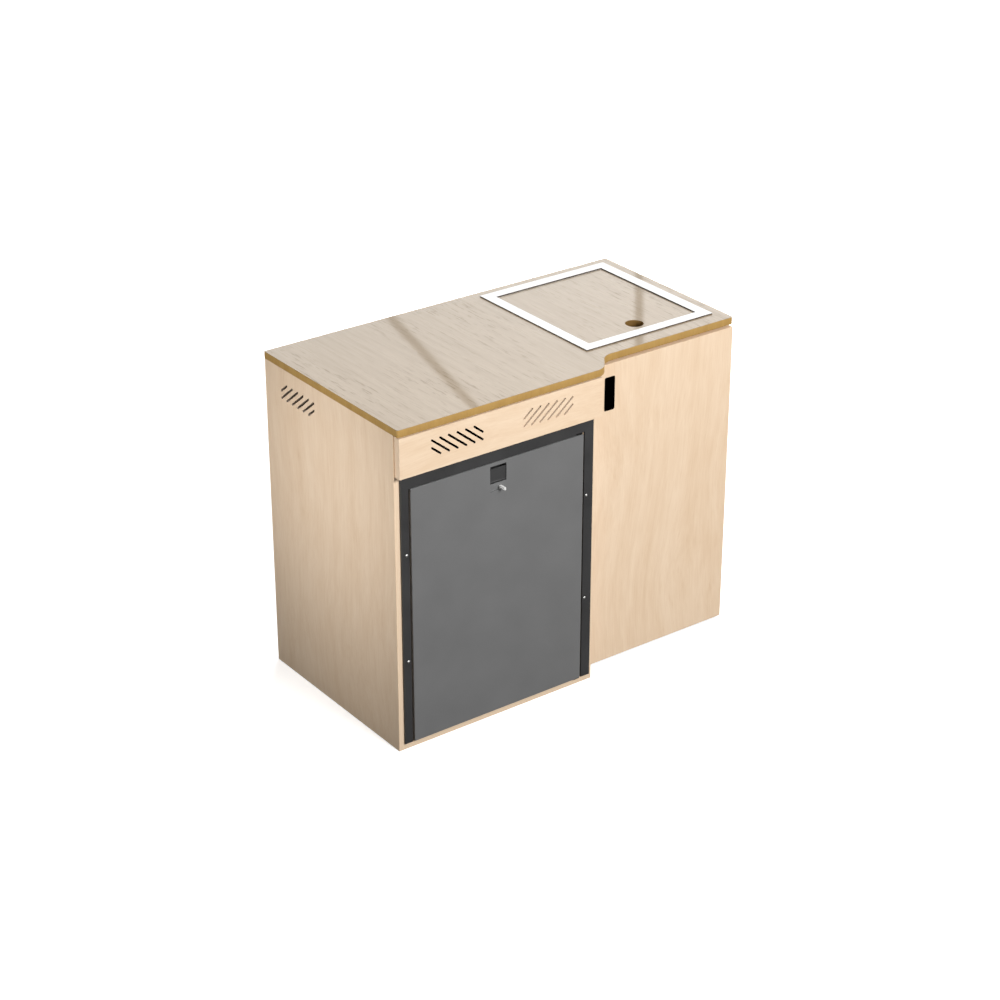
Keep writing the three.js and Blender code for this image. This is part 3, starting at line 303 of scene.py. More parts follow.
def moulded_group():
    """Fine texture of moulded plastic or paint, with faint handling marks in its gloss."""
    inputs = (
        PLACE, BASE, number_input("Gloss", 0.5), number_input("Texture size", 900.0),
        number_input("Variation", 0.1),
    )
    tree, source, result = group_tree("Pod moulded skin", inputs)
    texture = add_node(tree, "ShaderNodeTexNoise", None, Detail=2.0, Roughness=0.6)
    smudge = add_node(tree, "ShaderNodeTexNoise", None, Scale=11.0, Detail=4.0, Roughness=0.55)
    tree.links.new(source.outputs["Vector"], texture.inputs["Vector"])
    tree.links.new(source.outputs["Vector"], smudge.inputs["Vector"])
    tree.links.new(source.outputs["Texture size"], texture.inputs["Scale"])
    change = ranged(tree, smudge.outputs["Fac"], NOISE_LOW, NOISE_HIGH, -1.0)
    amount = combine(tree, "MULTIPLY", change, source.outputs["Variation"])
    return hand_over(
        tree, result, toned(tree, source, combine(tree, "MULTIPLY_ADD", amount, 0.35, 1.0)),
        combine(tree, "ADD", amount, source.outputs["Gloss"], clamp=True), texture.outputs["Fac"],
    )


def brushed_group():
    """Fine brushing of steel or aluminium, stretched along X."""
    tree, source, result = group_tree("Pod brushed metal", (PLACE, BASE, number_input("Gloss", 0.3)))
    brush = stretched_noise(tree, source.outputs["Vector"], (40.0, 900.0, 900.0), 3.0, 0.6).outputs["Fac"]
    change = ranged(tree, brush, NOISE_LOW, NOISE_HIGH, -0.06, 0.1)
    return hand_over(
        tree, result, toned(tree, source, ranged(tree, brush, NOISE_LOW, NOISE_HIGH, 0.88, 1.05)),
        combine(tree, "ADD", change, source.outputs["Gloss"], clamp=True), brush,
    )


def layer_group():
    """Cut edge of plywood: thin layers stacked along X, alternately light and dark, with short fibres."""
    inputs = (PLACE, LIGHT, DARK, number_input("Layer", 2.0 * MM), number_input("Contrast", 0.5))
    tree, source, result = group_tree("Pod ply layers", inputs)
    split = tree.nodes.new("ShaderNodeSeparateXYZ")
    tree.links.new(source.outputs["Vector"], split.inputs[0])
    count = combine(tree, "DIVIDE", split.outputs["X"], source.outputs["Layer"])
    wave = combine(tree, "SINE", combine(tree, "MULTIPLY", count, math.pi))
    fibres = stretched_noise(tree, source.outputs["Vector"], (900.0, 110.0, 110.0), 3.0, 0.6).outputs["Fac"]
    hair = ranged(tree, fibres, NOISE_LOW, NOISE_HIGH, 0.0, 0.5)
    total = combine(tree, "ADD", ranged(tree, wave, -0.35, 0.35), hair)
    amount = combine(tree, "MULTIPLY", total, source.outputs["Contrast"], clamp=True)
    return hand_over(
        tree, result, two_tones(tree, source, amount), ranged(tree, total, 0.0, 1.5, 0.5, 0.68), total,
    )


GROUPS = {
    "wood": wood_grain_group,
    "dashes": dash_group,
    "moulded": moulded_group,
    "brushed": brushed_group,
    "layers": layer_group,
}


def shared_group(name):
    """The node group of that name, built on its first use."""
    tree = GROUPS[name]
    if callable(tree):
        tree = GROUPS[name] = tree()
    return tree


# Finishes


QUARTER = math.pi / 2


def finish_material(name, group_name, values, relief, turn=(0.0, 0.0, 0.0), shift=(0.0, 0.0, 0.0), **shader):
    """A material whose colour, gloss and relief come from one shared group on Object coordinates."""
    material = bpy.data.materials.new(name)
    material.use_nodes = True
    tree = material.node_tree
    tree.nodes.clear()
    place = tree.nodes.new("ShaderNodeTexCoord")
    mapping = add_node(tree, "ShaderNodeMapping", {"vector_type": "POINT"}, Location=shift, Rotation=turn)
    pattern = tree.nodes.new("ShaderNodeGroup")
    pattern.node_tree = shared_group(group_name)
    for key, value in values.items():
        pattern.inputs[key].default_value = value
    surface = tree.nodes.new("ShaderNodeBsdfPrincipled")
    for key, value in shader.items():
        surface.inputs[key.replace("_", " ")].default_value = value
    strength, depth = relief
    bump = add_node(tree, "ShaderNodeBump", None, Strength=strength, Distance=depth)
    output = tree.nodes.new("ShaderNodeOutputMaterial")
    links = tree.links
    links.new(place.outputs["Object"], mapping.inputs["Vector"])
    links.new(mapping.outputs["Vector"], pattern.inputs["Vector"])
    links.new(pattern.outputs["Color"], surface.inputs["Base Color"])
    links.new(pattern.outputs["Roughness"], surface.inputs["Roughness"])
    links.new(pattern.outputs["Height"], bump.inputs["Height"])
    links.new(bump.outputs["Normal"], surface.inputs["Normal"])
    links.new(surface.outputs["BSDF"], output.inputs["Surface"])
    return material


def plywood(name, turn, shift):
    """Lacquered light plywood; the turn lays its grain along the board."""
    colours = pod_settings()[0]
    values = {
        "Light": rgba(colours.plywood), "Dark": rgba(colours.plywood_dark), "Figure": 0.56, "Fibre": 0.36,
    }
    return finish_material(
        name, "wood", values, (0.25, 0.08 * MM), turn, shift, Specular_IOR_Level=0.35,
        Coat_Weight=0.08, Coat_Roughness=0.3,
    )


def plywood_upright():
    """Plywood with its grain up and down."""
    return plywood("Pod plywood upright", (0.0, 0.0, 0.0), (0.31, 0.17, 0.0))


def plywood_across():
    """Plywood with its grain from side to side."""
    return plywood("Pod plywood across", (0.0, -QUARTER, 0.0), (0.13, 0.29, 0.07))


def plywood_deep():
    """Plywood with its grain from front to back."""
    return plywood("Pod plywood deep", (QUARTER, 0.0, 0.0), (0.41, 0.05, 0.19))


def ply_edge(name, turn, light, dark, contrast):
    """Cut edge of a board, with its layers stacked along the turned X axis."""
    values = {"Light": rgba(light), "Dark": rgba(dark), "Layer": 2.0 * MM, "Contrast": contrast}
    return finish_material(name, "layers", values, (0.3, 0.1 * MM), turn, Specular_IOR_Level=0.25)


def ply_edge_x():
    """Edge of a board that is thin from side to side."""
    colours = pod_settings()[0]
    return ply_edge("Pod ply edge X", (0.0, 0.0, 0.0), colours.plywood, colours.plywood_dark, 0.5)


def ply_edge_y():
    """Edge of a board that is thin from front to back."""
    colours = pod_settings()[0]
    return ply_edge("Pod ply edge Y", (0.0, 0.0, -QUARTER), colours.plywood, colours.plywood_dark, 0.5)


def ply_edge_z():
    """Edge of a board that lies flat."""
    colours = pod_settings()[0]
    return ply_edge("Pod ply edge Z", (0.0, QUARTER, 0.0), colours.plywood, colours.plywood_dark, 0.5)


def worktop_edge():
    """Golden brown core of the worktop, with faint upright strips."""
    colours = pod_settings()[0]
    values = {
        "Light": rgba(colours.edge), "Dark": rgba(colours.edge_dark), "Figure": 0.55, "Fibre": 0.45,
    }
    return finish_material(
        "Pod worktop edge", "wood", values, (0.3, 0.12 * MM), shift=(0.2, 0.4, 0.0), Specular_IOR_Level=0.3,
    )


def hole_wall_painted_shade():
    """Painted shade: a darker copy of the worktop's core round the lid's finger hole, for the shade inside
    it.
    """
    values = {
        "Light": rgba((0.21, 0.12, 0.035)), "Dark": rgba((0.14, 0.075, 0.02)), "Figure": 0.5, "Fibre": 0.4,
    }
    return finish_material("Pod hole wall painted shade", "wood", values, (0.3, 0.12 * MM), Specular_IOR_Level=0.2)


def laminate():
    """Grey-beige laminate with fine dashes from front to back, under a glossy seal."""
    colours = pod_settings()[0]
    values = {"Light": rgba(colours.laminate), "Dark": rgba(colours.laminate_dark), "Amount": 0.78}
    return finish_material(
        "Pod laminate", "dashes", values, (0.12, 0.04 * MM), shift=(0.17, 0.33, 0.0),
        Specular_IOR_Level=0.1, Coat_Weight=1.0, Coat_Roughness=0.02,
    )


def moulded(name, base, gloss, texture, variation, relief, **shader):
    """A moulded or painted surface with its own gloss and fine texture."""
    values = {"Base": rgba(base), "Gloss": gloss, "Texture size": texture, "Variation": variation}
    return finish_material(name, "moulded", values, relief, **shader)


def basin_white():
    """Smooth white basin."""
    return moulded(
        "Pod basin", pod_settings()[0].basin, 0.28, 60.0, 0.02, (0.04, 0.1 * MM), Coat_Weight=0.5,
        Coat_Roughness=0.12,
    )


def charcoal():
    """Charcoal plastic of the fridge's flange."""
    return moulded("Pod charcoal", pod_settings()[0].charcoal, 0.5, 1500.0, 0.1, (0.22, 0.06 * MM))


def door_skin():
    """Satin grey paint of the fridge door."""
    return moulded("Pod door skin", pod_settings()[0].door, 0.42, 1100.0, 0.07, (0.1, 0.04 * MM))


def white_plastic():
    """White moulded plastic."""
    return moulded("Pod white plastic", pod_settings()[0].white, 0.32, 700.0, 0.05, (0.06, 0.05 * MM))


def black_plastic():
    """Black moulded plastic of the cupboard catch."""
    return moulded(
        "Pod black plastic", pod_settings()[0].black, 0.6, 1300.0, 0.08, (0.2, 0.05 * MM),
        Specular_IOR_Level=0.0,
    )


def cut_wall_painted_shade(name, base):
    """The matt wall of a cut slot, in a colour that is painted shade."""
    return moulded(name, base, 0.6, 700.0, 0.15, (0.2, 0.1 * MM), Specular_IOR_Level=0.2)


def slot_wall_painted_shade():
    """Painted shade: a dark colour on the walls of the fascia's left slots and of the lock's slot, where
    shade falls.
    """
    return cut_wall_painted_shade("Pod slot wall painted shade", (0.045, 0.043, 0.04))


def slot_wall_mid_painted_shade():
    """Painted shade: brown-grey on the walls of the side's slots."""
    return cut_wall_painted_shade("Pod slot wall mid painted shade", (0.46, 0.38, 0.31))


def slot_wall_pale_painted_light():
    """Painted light and shade: pale brown on the walls of the fascia's right slots, where light reaches
    them.
    """
    return cut_wall_painted_shade("Pod slot wall pale painted light", (0.75, 0.60, 0.46))


def rim_side_painted_shade():
    """Painted shade: dark brown on the rim's upright faces, for the shadow in the gaps round the rim and the
    lid.
    """
    return moulded("Pod rim side painted shade", (0.03, 0.016, 0.007), 0.5, 500.0, 0.12, (0.1, 0.05 * MM))


def rubber():
    """Matt black rubber."""
    return moulded("Pod rubber", (0.012, 0.012, 0.012), 0.7, 900.0, 0.08, (0.25, 0.08 * MM))


def enamel():
    """Gloss black enamel of the compressor."""
    return moulded("Pod black enamel", (0.014, 0.014, 0.014), 0.2, 90.0, 0.06, (0.1, 0.15 * MM))


def steel():
    """Zinc-plated steel."""
    values = {"Base": rgba(pod_settings()[0].steel), "Gloss": 0.3}
    return finish_material("Pod steel", "brushed", values, (0.12, 0.02 * MM), Metallic=1.0)


def aluminium():
    """Mill-finish aluminium sheet."""
    values = {"Base": (0.6, 0.61, 0.62, 1.0), "Gloss": 0.38}
    return finish_material("Pod aluminium", "brushed", values, (0.15, 0.03 * MM), Metallic=1.0)


MATERIALS = {}


def finish(make):
    """The material that a finish function makes, made on its first use."""
    if make.__name__ not in MATERIALS:
        MATERIALS[make.__name__] = make()
    return MATERIALS[make.__name__]


# Pieces dressed from the frame


RECORD = frame["record"]
BODY_OF = {node: body for body, nodes in RECORD["behaviour"]["bodies"].items() for node in nodes}

FLAT = math.radians(1.0)
CREASE = math.radians(35.0)


def add_piece(bm, name, node, makers):
    """Makes a bmesh an object that rides with a frame node's body and takes its finishes."""
    mesh = bpy.data.meshes.new(name)
    bm.to_mesh(mesh)
    bm.free()
    for make in makers:
        mesh.materials.append(finish(make))
    piece = bpy.data.objects.new(name, mesh)
    bpy.context.collection.objects.link(piece)
    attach(piece, BODY_OF[node])
    return piece


def frame_copy(node):
    """A merged copy of a frame node, with its flat faces whole."""
    bm = bmesh.new()
    bm.from_mesh(NODES[node].data)
    bmesh.ops.remove_doubles(bm, verts=bm.verts, dist=0.004 * MM)
    bmesh.ops.dissolve_limit(bm, angle_limit=FLAT, verts=bm.verts, edges=bm.edges)
    return bm


def ease_edges(bm, width, segments=3):
    """Rounds every sharp edge by a width and marks curved faces smooth."""
    for face in bm.faces:
        face.smooth = any(FLAT < edge.calc_face_angle(0.0) < CREASE for edge in face.edges)
    sharp = [edge for edge in bm.edges if edge.calc_face_angle(0.0) >= CREASE]
    made = bmesh.ops.bevel(
        bm, geom=sharp, offset=width, offset_type="OFFSET", affect="EDGES", segments=segments,
        profile=0.5, material=-1, clamp_overlap=True,
    )
    for face in made["faces"]:
        face.smooth = True


def dress(node, make, width, segments=3, other=None, is_other=None, level=None):
    """Stands an edge-worked copy of a frame node in its place, with one finish, or another on some faces.

    A level parts the upright faces there, so that the finishes can meet at that height.
    """
    bm = frame_copy(node)
    if level is not None:
        whole = list(bm.verts) + list(bm.edges) + list(bm.faces)
        bmesh.ops.bisect_plane(bm, geom=whole, dist=0.001 * MM, plane_co=(0, 0, level), plane_no=(0, 0, 1))
    makers = [make]
    if other is not None:
        makers.append(other)
        for face in bm.faces:
            face.material_index = int(is_other(face))
    ease_edges(bm, width, segments)
    piece = add_piece(bm, node + "_finished", node, makers)
    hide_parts(node)
    return piece


def on_box(face, low, high, thin, reach=0.1 * MM):
    """Whether a face lies within reach of one of the four narrow sides of a board's box."""
    middle = face.calc_center_median()
    return any(
        min(middle[axis] - low[axis], high[axis] - middle[axis]) < reach for axis in range(3) if axis != thin
    )


GRAINS = {0: plywood_across, 1: plywood_deep, 2: plywood_upright}
EDGES = {0: ply_edge_x, 1: ply_edge_y, 2: ply_edge_z}


def dress_board(node, grain=None, slots=None):
    """Stands an eased plywood board in a node's place, with its layers showing on the cut edges.

    The walls of slots through the board can take two finishes of painted shade, left and right of its
    middle.
    """
    low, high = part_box(node)
    size = [high[axis] - low[axis] for axis in range(3)]
    thin = size.index(min(size))
    along = size.index(max(size)) if grain is None else grain
    bm = frame_copy(node)
    makers = [GRAINS[along], EDGES[thin]]
    for face in bm.faces:
        face.material_index = 0 if abs(face.normal[thin]) > 0.7 else 1
    # Slot walls take painted shade: the first colour left of the board's middle, the second right of it.
    if slots is not None:
        makers.extend(slots)
        for face in bm.faces:
            if face.material_index == 1 and not on_box(face, low, high, thin):
                face.material_index = 2 + int(face.calc_center_median().x > (low.x + high.x) / 2)
    ease_edges(bm, pod_settings()[1].board)
    piece = add_piece(bm, node + "_finished", node, makers)
    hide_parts(node)
    return piece


# Fastenings


HEAD_STEPS = 14
DOME_FALL = 0.72

# Shares of a screw head's radius and height that shape its cross recess
ARM_WIDTH, ARM_REACH = 2.1 / HEAD_STEPS, 0.55
RECESS_NARROWING, RECESS_DEPTH = 0.55, 0.6


def screw_head(bm, place, radius, height):
    """Adds a domed head with a cross recess; the place turns its +Z outwards."""
    before = set(bm.verts)
    bmesh.ops.create_grid(bm, x_segments=HEAD_STEPS, y_segments=HEAD_STEPS, size=1.0)
    verts = [vert for vert in bm.verts if vert not in before]
    for vert in verts:
        x, y = vert.co.x, vert.co.y
        across = x * math.sqrt(1.0 - y * y / 2.0)
        along = y * math.sqrt(1.0 - x * x / 2.0)
        reach = across * across + along * along
        vert.co = (across * radius, along * radius, height * (1.0 - DOME_FALL * reach * reach))
    arm = radius * ARM_WIDTH
    faces = {face for vert in verts for face in vert.link_faces}
    rim = [edge for vert in verts for edge in vert.link_edges if edge.is_boundary]
    recess = []
    for face in faces:
        face.smooth = True
        centre = face.calc_center_median()
        near, far = sorted((abs(centre.x), abs(centre.y)))
        if near < arm and far < radius * ARM_REACH:
            recess.append(face)
    skirt = bmesh.ops.extrude_edge_only(bm, edges=list(set(rim)))["geom"]
    foot = [item for item in skirt if isinstance(item, bmesh.types.BMVert)]
    for vert in foot:
        vert.co.z = 0.0
    sunk = bmesh.ops.extrude_face_region(bm, geom=recess)["geom"]
    floor = [item for item in sunk if isinstance(item, bmesh.types.BMVert)]
    for vert in floor:
        vert.co = (
            vert.co.x * RECESS_NARROWING, vert.co.y * RECESS_NARROWING, -height * RECESS_DEPTH,
        )
    base = [edge for edge in {edge for vert in foot for edge in vert.link_edges} if edge.is_boundary]
    bmesh.ops.contextual_create(bm, geom=base)
    made = [vert for vert in bm.verts if vert not in before]
    bmesh.ops.transform(bm, matrix=place, verts=made)
    bmesh.ops.recalc_face_normals(bm, faces=list({face for vert in made for face in vert.link_faces}))


def facing(point, direction, turn=0.0):
    """A place whose +Z looks along a direction, turned about it."""
    aim = Vector(direction).to_track_quat("Z", "Y").to_matrix().to_4x4()
    return Matrix.Translation(Vector(point)) @ aim @ Matrix.Rotation(turn, 4, "Z")


def flange_screw(node, turn):
    """A cross-recessed screw through the fridge's flange, in the place of its plain solid."""
    low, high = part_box(node)
    front = NODES["fridge_flange"].data
    face = min(vert.co.y for vert in front.vertices)
    centre = Vector(((low.x + high.x) / 2, face, (low.z + high.z) / 2))
    bm = bmesh.new()
    screw_head(bm, facing(centre, (0.0, -1.0, 0.0), turn), (high.x - low.x) / 2, face - low.y)
    shank = Matrix.Translation((0.0, (high.y - face) / 2, 0.0)) @ facing(centre, (0.0, -1.0, 0.0))
    bmesh.ops.create_cone(
        bm, cap_ends=True, segments=16, radius1=1.1 * MM, radius2=1.7 * MM, depth=high.y - face,
        matrix=shank,
    )
    piece = add_piece(bm, node + "_finished", node, [steel])
    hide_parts(node)


def panel_screws(name, node, points, direction, radius):
    """A row of flush cross-recessed screws in a panel's face."""
    bm = bmesh.new()
    for place, point in enumerate(points):
        screw_head(bm, facing(point, direction, 0.7 * place), radius, 0.35 * MM)
    mesh_piece = add_piece(bm, name, node, [steel])


# Operators


class PodOperator:
    """What the pod's operators share: their place in the undo list."""

    bl_options = {"REGISTER", "UNDO"}


class POD_OT_boards(PodOperator, bpy.types.Operator):
    """Finish the plywood boards, rails, battens and shelf of the cabinet"""

    bl_idname = "pod.boards"
    bl_label = "Cabinet boards"

    def execute(self, context):
        for node in (
            "divider_panel", "right_side_panel", "cupboard_shelf", "door_stop_batten",
            "fridge_front_rail", "fridge_rear_rail", "cupboard_front_rail",
            "cupboard_rear_rail", "fridge_batten_left", "fridge_batten_right", "shelf_cleat_left",
            "shelf_cleat_right",
        ):
            dress_board(node)
        # The slot walls take painted shade, darker or paler by how the light falls in each group of slots.
        dress_board("left_side_panel", slots=(slot_wall_mid_painted_shade, slot_wall_mid_painted_shade))
        dress_board("fascia_panel", slots=(slot_wall_painted_shade, slot_wall_pale_painted_light))
        dress_board("fridge_base_panel", grain=0)
        dress_board("cupboard_base_panel", grain=0)
        dress_board("back_panel", grain=0)
        self.fix_back()
        return {"FINISHED"}

    def fix_back(self):
        """Sets the back panel's screws along its edges and over the divider."""
        low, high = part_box("back_panel")
        inset = 9.0 * MM
        divider_low, divider_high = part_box("divider_panel")
        columns = (low.x + inset, (divider_low.x + divider_high.x) / 2, high.x - inset)
        rows = [low.z + inset + share * (high.z - low.z - 2 * inset) for share in (0.0, 0.33, 0.67, 1.0)]
        points = [(x, high.y, z) for x in columns for z in rows]
        panel_screws("back_panel_screws", "back_panel", points, (0.0, 1.0, 0.0), 3.4 * MM)


class POD_OT_worktop(PodOperator, bpy.types.Operator):
    """Finish the worktop and the lid over the basin"""

    bl_idname = "pod.worktop"
    bl_label = "Worktop and lid"

    def execute(self, context):
        edges = pod_settings()[1]
        dress("worktop_core", worktop_edge, edges.board)
        low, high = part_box("lid_panel")
        # The finger hole's wall takes the darker core, painted shade inside the hole.
        dress(
            "lid_panel", worktop_edge, edges.board, other=hole_wall_painted_shade,
            is_other=lambda face: abs(face.normal.z) < 0.5 and not on_box(face, low, high, 2, 5.0 * MM),
        )
        for node in ("worktop_laminate", "lid_laminate"):
            dress(node, laminate, edges.worktop)
        return {"FINISHED"}


class POD_OT_basin(PodOperator, bpy.types.Operator):
    """Finish the basin, its waste, plug and trap"""

    bl_idname = "pod.basin"
    bl_label = "Basin and waste"

    def execute(self, context):
        edges = pod_settings()[1]
        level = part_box("lid_laminate")[1].z - 0.3 * MM
        # The rim's upright faces above the lid's top are painted dark brown: painted shade for the gaps
        # round the rim and the lid.
        dress(
            "basin", basin_white, edges.basin, other=rim_side_painted_shade,
            is_other=lambda face: abs(face.normal.z) < 0.3 and face.calc_center_median().z > level,
            level=level,
        )
        dress("waste_strainer", steel, edges.metal)
        dress("waste_plug", rubber, edges.moulding)
        dress("waste_trap", white_plastic, edges.moulding)
        return {"FINISHED"}


class POD_OT_fridge_body(PodOperator, bpy.types.Operator):
    """Finish the fridge's cabinet, its inside and its cooling unit"""

    bl_idname = "pod.fridge_body"
    bl_label = "Fridge body"

    def execute(self, context):
        edges = pod_settings()[1]
        dress("fridge_cabinet", charcoal, edges.moulding)
        dress("fridge_liner", white_plastic, edges.moulding)
        for node in ("fridge_shelf_lower", "fridge_shelf_upper"):
            dress(node, steel, edges.metal)
        for node in ("fridge_hinge_upper", "fridge_hinge_lower"):
            dress(node, enamel, edges.metal)
        for node in ("evaporator_box", "condenser"):
            dress(node, aluminium, edges.metal)
        dress("compressor", enamel, edges.moulding)
        return {"FINISHED"}


class POD_OT_fridge_front(PodOperator, bpy.types.Operator):
    """Finish the fridge's flange, door, latch and door bins"""

    bl_idname = "pod.fridge_front"
    bl_label = "Fridge front"

    def execute(self, context):
        edges = pod_settings()[1]
        dress("fridge_flange", charcoal, edges.moulding)
        for number in range(1, 5):
            flange_screw("flange_screw_%d" % number, 0.4 + 0.9 * number)
        low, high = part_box("lock_lever")
        reach = 3.0 * MM
        # The walls of the lock's slot in the door take the dark painted shade of the slot walls.
        dress(
            "fridge_door_panel", door_skin, edges.skin, other=slot_wall_painted_shade,
            is_other=lambda face: low.z - reach < face.calc_center_median().z < high.z + reach
            and low.x - 30.0 * MM < face.calc_center_median().x < high.x + 30.0 * MM
            and abs(face.calc_center_median().y - low.y) < 8.0 * MM,
        )
        for node in ("latch_housing", "latch_flap", "latch_bolt"):
            dress(node, charcoal, edges.metal)
        for node in ("lock_lever", "fridge_door_liner", "door_bin_lower", "door_bin_upper"):
            dress(node, white_plastic, edges.moulding)
        dress("fridge_door_seal", rubber, edges.moulding)
        return {"FINISHED"}


class POD_OT_cupboard_front(PodOperator, bpy.types.Operator):
    """Finish the cupboard's door, hinges and push catch"""

    bl_idname = "pod.cupboard_front"
    bl_label = "Cupboard front"

    def execute(self, context):
        edges = pod_settings()[1]
        dress_board("cupboard_door")
        for level in ("lower", "upper"):
            for part in ("frame_leaf", "door_leaf", "pin"):
                dress("hinge_%s_%s" % (level, part), steel, edges.metal)
        for node in ("catch_housing", "catch_paddle", "catch_bolt"):
            dress(node, black_plastic, edges.metal)
        dress("catch_keeper", steel, edges.metal)
        return {"FINISHED"}


# Studio

# The screen that the worktop mirrors: the way across it, its darker share on the left, and the planes
# and soft edges of its two dark gaps
SCREEN_ACROSS = (0.804, -0.594, 0.0)
SCREEN_LEFT, SCREEN_RIGHT = -0.066, 0.02
SCREEN_LEFT_SHARE = 0.82
SCREEN_GAPS = ((0.7724, -0.6346, -0.0256), (0.7592, -0.2026, -0.6185))
GAP_DARK, GAP_CLEAR = 0.0004, 0.0030

# The floor's own glow, near the pod and away from it
GLOW_NEAR, GLOW_FAR = 1.2, 3.5
GLOW_LEAST, GLOW_MOST = 0.52, 0.8

# How the room's light grows from below the horizon to overhead
RISE_LOW, RISE_HIGH = -0.1, 0.9
RISE_LEAST = 0.12

WHITE = (1.0, 1.0, 1.0, 1.0)


def shader_mix(tree, share, first, second):
    """Two shaders mixed by a share of the second."""
    return feed(tree, tree.nodes.new("ShaderNodeMixShader"), (share, first, second)).outputs["Shader"]


def white_sheet(name):
    """Floor that keeps the pod's soft shadow and looks white to the camera."""
    material = bpy.data.materials.new(name)
    material.use_nodes = True
    tree = material.node_tree
    tree.nodes.clear()
    links = tree.links
    place = tree.nodes.new("ShaderNodeTexCoord").outputs["Object"]
    cloud = add_node(tree, "ShaderNodeTexNoise", None, Scale=0.8, Detail=2.0, Roughness=0.5)
    links.new(place, cloud.inputs["Vector"])
    lit = tree.nodes.new("ShaderNodeBsdfDiffuse")
    links.new(ranged(tree, cloud.outputs["Fac"], NOISE_LOW, NOISE_HIGH, 0.95, 0.97), lit.inputs["Color"])
    reach = vectors(tree, "LENGTH", place).outputs["Value"]
    glow = add_node(tree, "ShaderNodeEmission", None, Color=WHITE)
    links.new(ranged(tree, reach, GLOW_NEAR, GLOW_FAR, GLOW_LEAST, GLOW_MOST), glow.inputs["Strength"])
    seen = tree.nodes.new("ShaderNodeAddShader")
    feed(tree, seen, (lit.outputs["BSDF"], glow.outputs["Emission"]))
    dull = add_node(tree, "ShaderNodeBsdfDiffuse", None, Color=(0.13, 0.128, 0.124, 1.0))
    camera_ray = tree.nodes.new("ShaderNodeLightPath").outputs["Is Camera Ray"]
    either = shader_mix(tree, camera_ray, dull.outputs["BSDF"], seen.outputs["Shader"])
    links.new(either, tree.nodes.new("ShaderNodeOutputMaterial").inputs["Surface"])
    return material


def sheen(tree, direction, strength):
    """What glossy surfaces mirror: an even pale screen with two thin dark gaps."""
    across = vectors(tree, "DOT_PRODUCT", direction, SCREEN_ACROSS).outputs["Value"]
    light = ranged(tree, across, SCREEN_LEFT, SCREEN_RIGHT, SCREEN_LEFT_SHARE * strength, strength)
    for normal in SCREEN_GAPS:
        away = vectors(tree, "DOT_PRODUCT", direction, normal).outputs["Value"]
        gap = ranged(
            tree, combine(tree, "ABSOLUTE", away), GAP_DARK, GAP_CLEAR,
            options={"interpolation_type": "SMOOTHSTEP"},
        )
        light = combine(tree, "MULTIPLY", light, gap)
    glow = add_node(tree, "ShaderNodeBackground", None, Color=WHITE)
    tree.links.new(light, glow.inputs["Strength"])
    return glow.outputs["Background"]


def pale_room(strength, gloss):
    """World that is white to the camera and gives the pod a soft pale light, weaker near the floor."""
    world = bpy.data.worlds.new("Pod room")
    world.use_nodes = True
    tree = world.node_tree
    tree.nodes.clear()
    direction = tree.nodes.new("ShaderNodeTexCoord").outputs["Generated"]
    split = tree.nodes.new("ShaderNodeSeparateXYZ")
    tree.links.new(direction, split.inputs[0])
    rise = ranged(tree, split.outputs["Z"], RISE_LOW, RISE_HIGH, RISE_LEAST)
    soft = add_node(tree, "ShaderNodeBackground", None, Color=(1.0, 0.995, 0.985, 1.0))
    tree.links.new(combine(tree, "MULTIPLY", rise, strength), soft.inputs["Strength"])
    white = add_node(tree, "ShaderNodeBackground", None, Color=WHITE, Strength=1.0)
    path = tree.nodes.new("ShaderNodeLightPath")
    mirrored = sheen(tree, direction, gloss)
    lit = shader_mix(tree, path.outputs["Is Glossy Ray"], soft.outputs["Background"], mirrored)
    either = shader_mix(tree, path.outputs["Is Camera Ray"], lit, white.outputs["Background"])
    tree.links.new(either, tree.nodes.new("ShaderNodeOutputWorld").inputs["Surface"])
    return world


# Each lamp's place, the point it is aimed at and its width
KEY_LAMP = ((0.35, -3.6, 2.5), (0.0, -0.2, 0.6), 1.4)
FILL_LAMP = ((-1.9, -0.15, 1.0), (-0.5, 0.0, 0.59), 0.7)
REAR_LAMP = ((2.2, 3.0, 1.1), (0.25, 0.15, 0.45), 1.2)
BACK_LAMP = ((1.7, 1.2, 3.2), (0.2, 0.1, 0.8), 1.6)
KEY_COLOUR = (1.0, 0.99, 0.975)
FILL_SPREAD = math.radians(50.0)


def area_lamp(name, position, power, colour=(1.0, 1.0, 1.0)):
    """A square area lamp at its place, aimed at its target."""
    place, target, size = position
    lamp = bpy.data.lights.new(name, "AREA")
    lamp.shape = "SQUARE"
    lamp.size = size
    lamp.energy = power
    lamp.color = colour
    holder = bpy.data.objects.new(name, lamp)
    bpy.context.collection.objects.link(holder)
    aim = Vector(target) - Vector(place)
    turn = aim.to_track_quat("-Z", "Y").to_matrix().to_4x4()
    holder.matrix_world = Matrix.Translation(Vector(place)) @ turn
    holder.visible_camera = False
    return holder


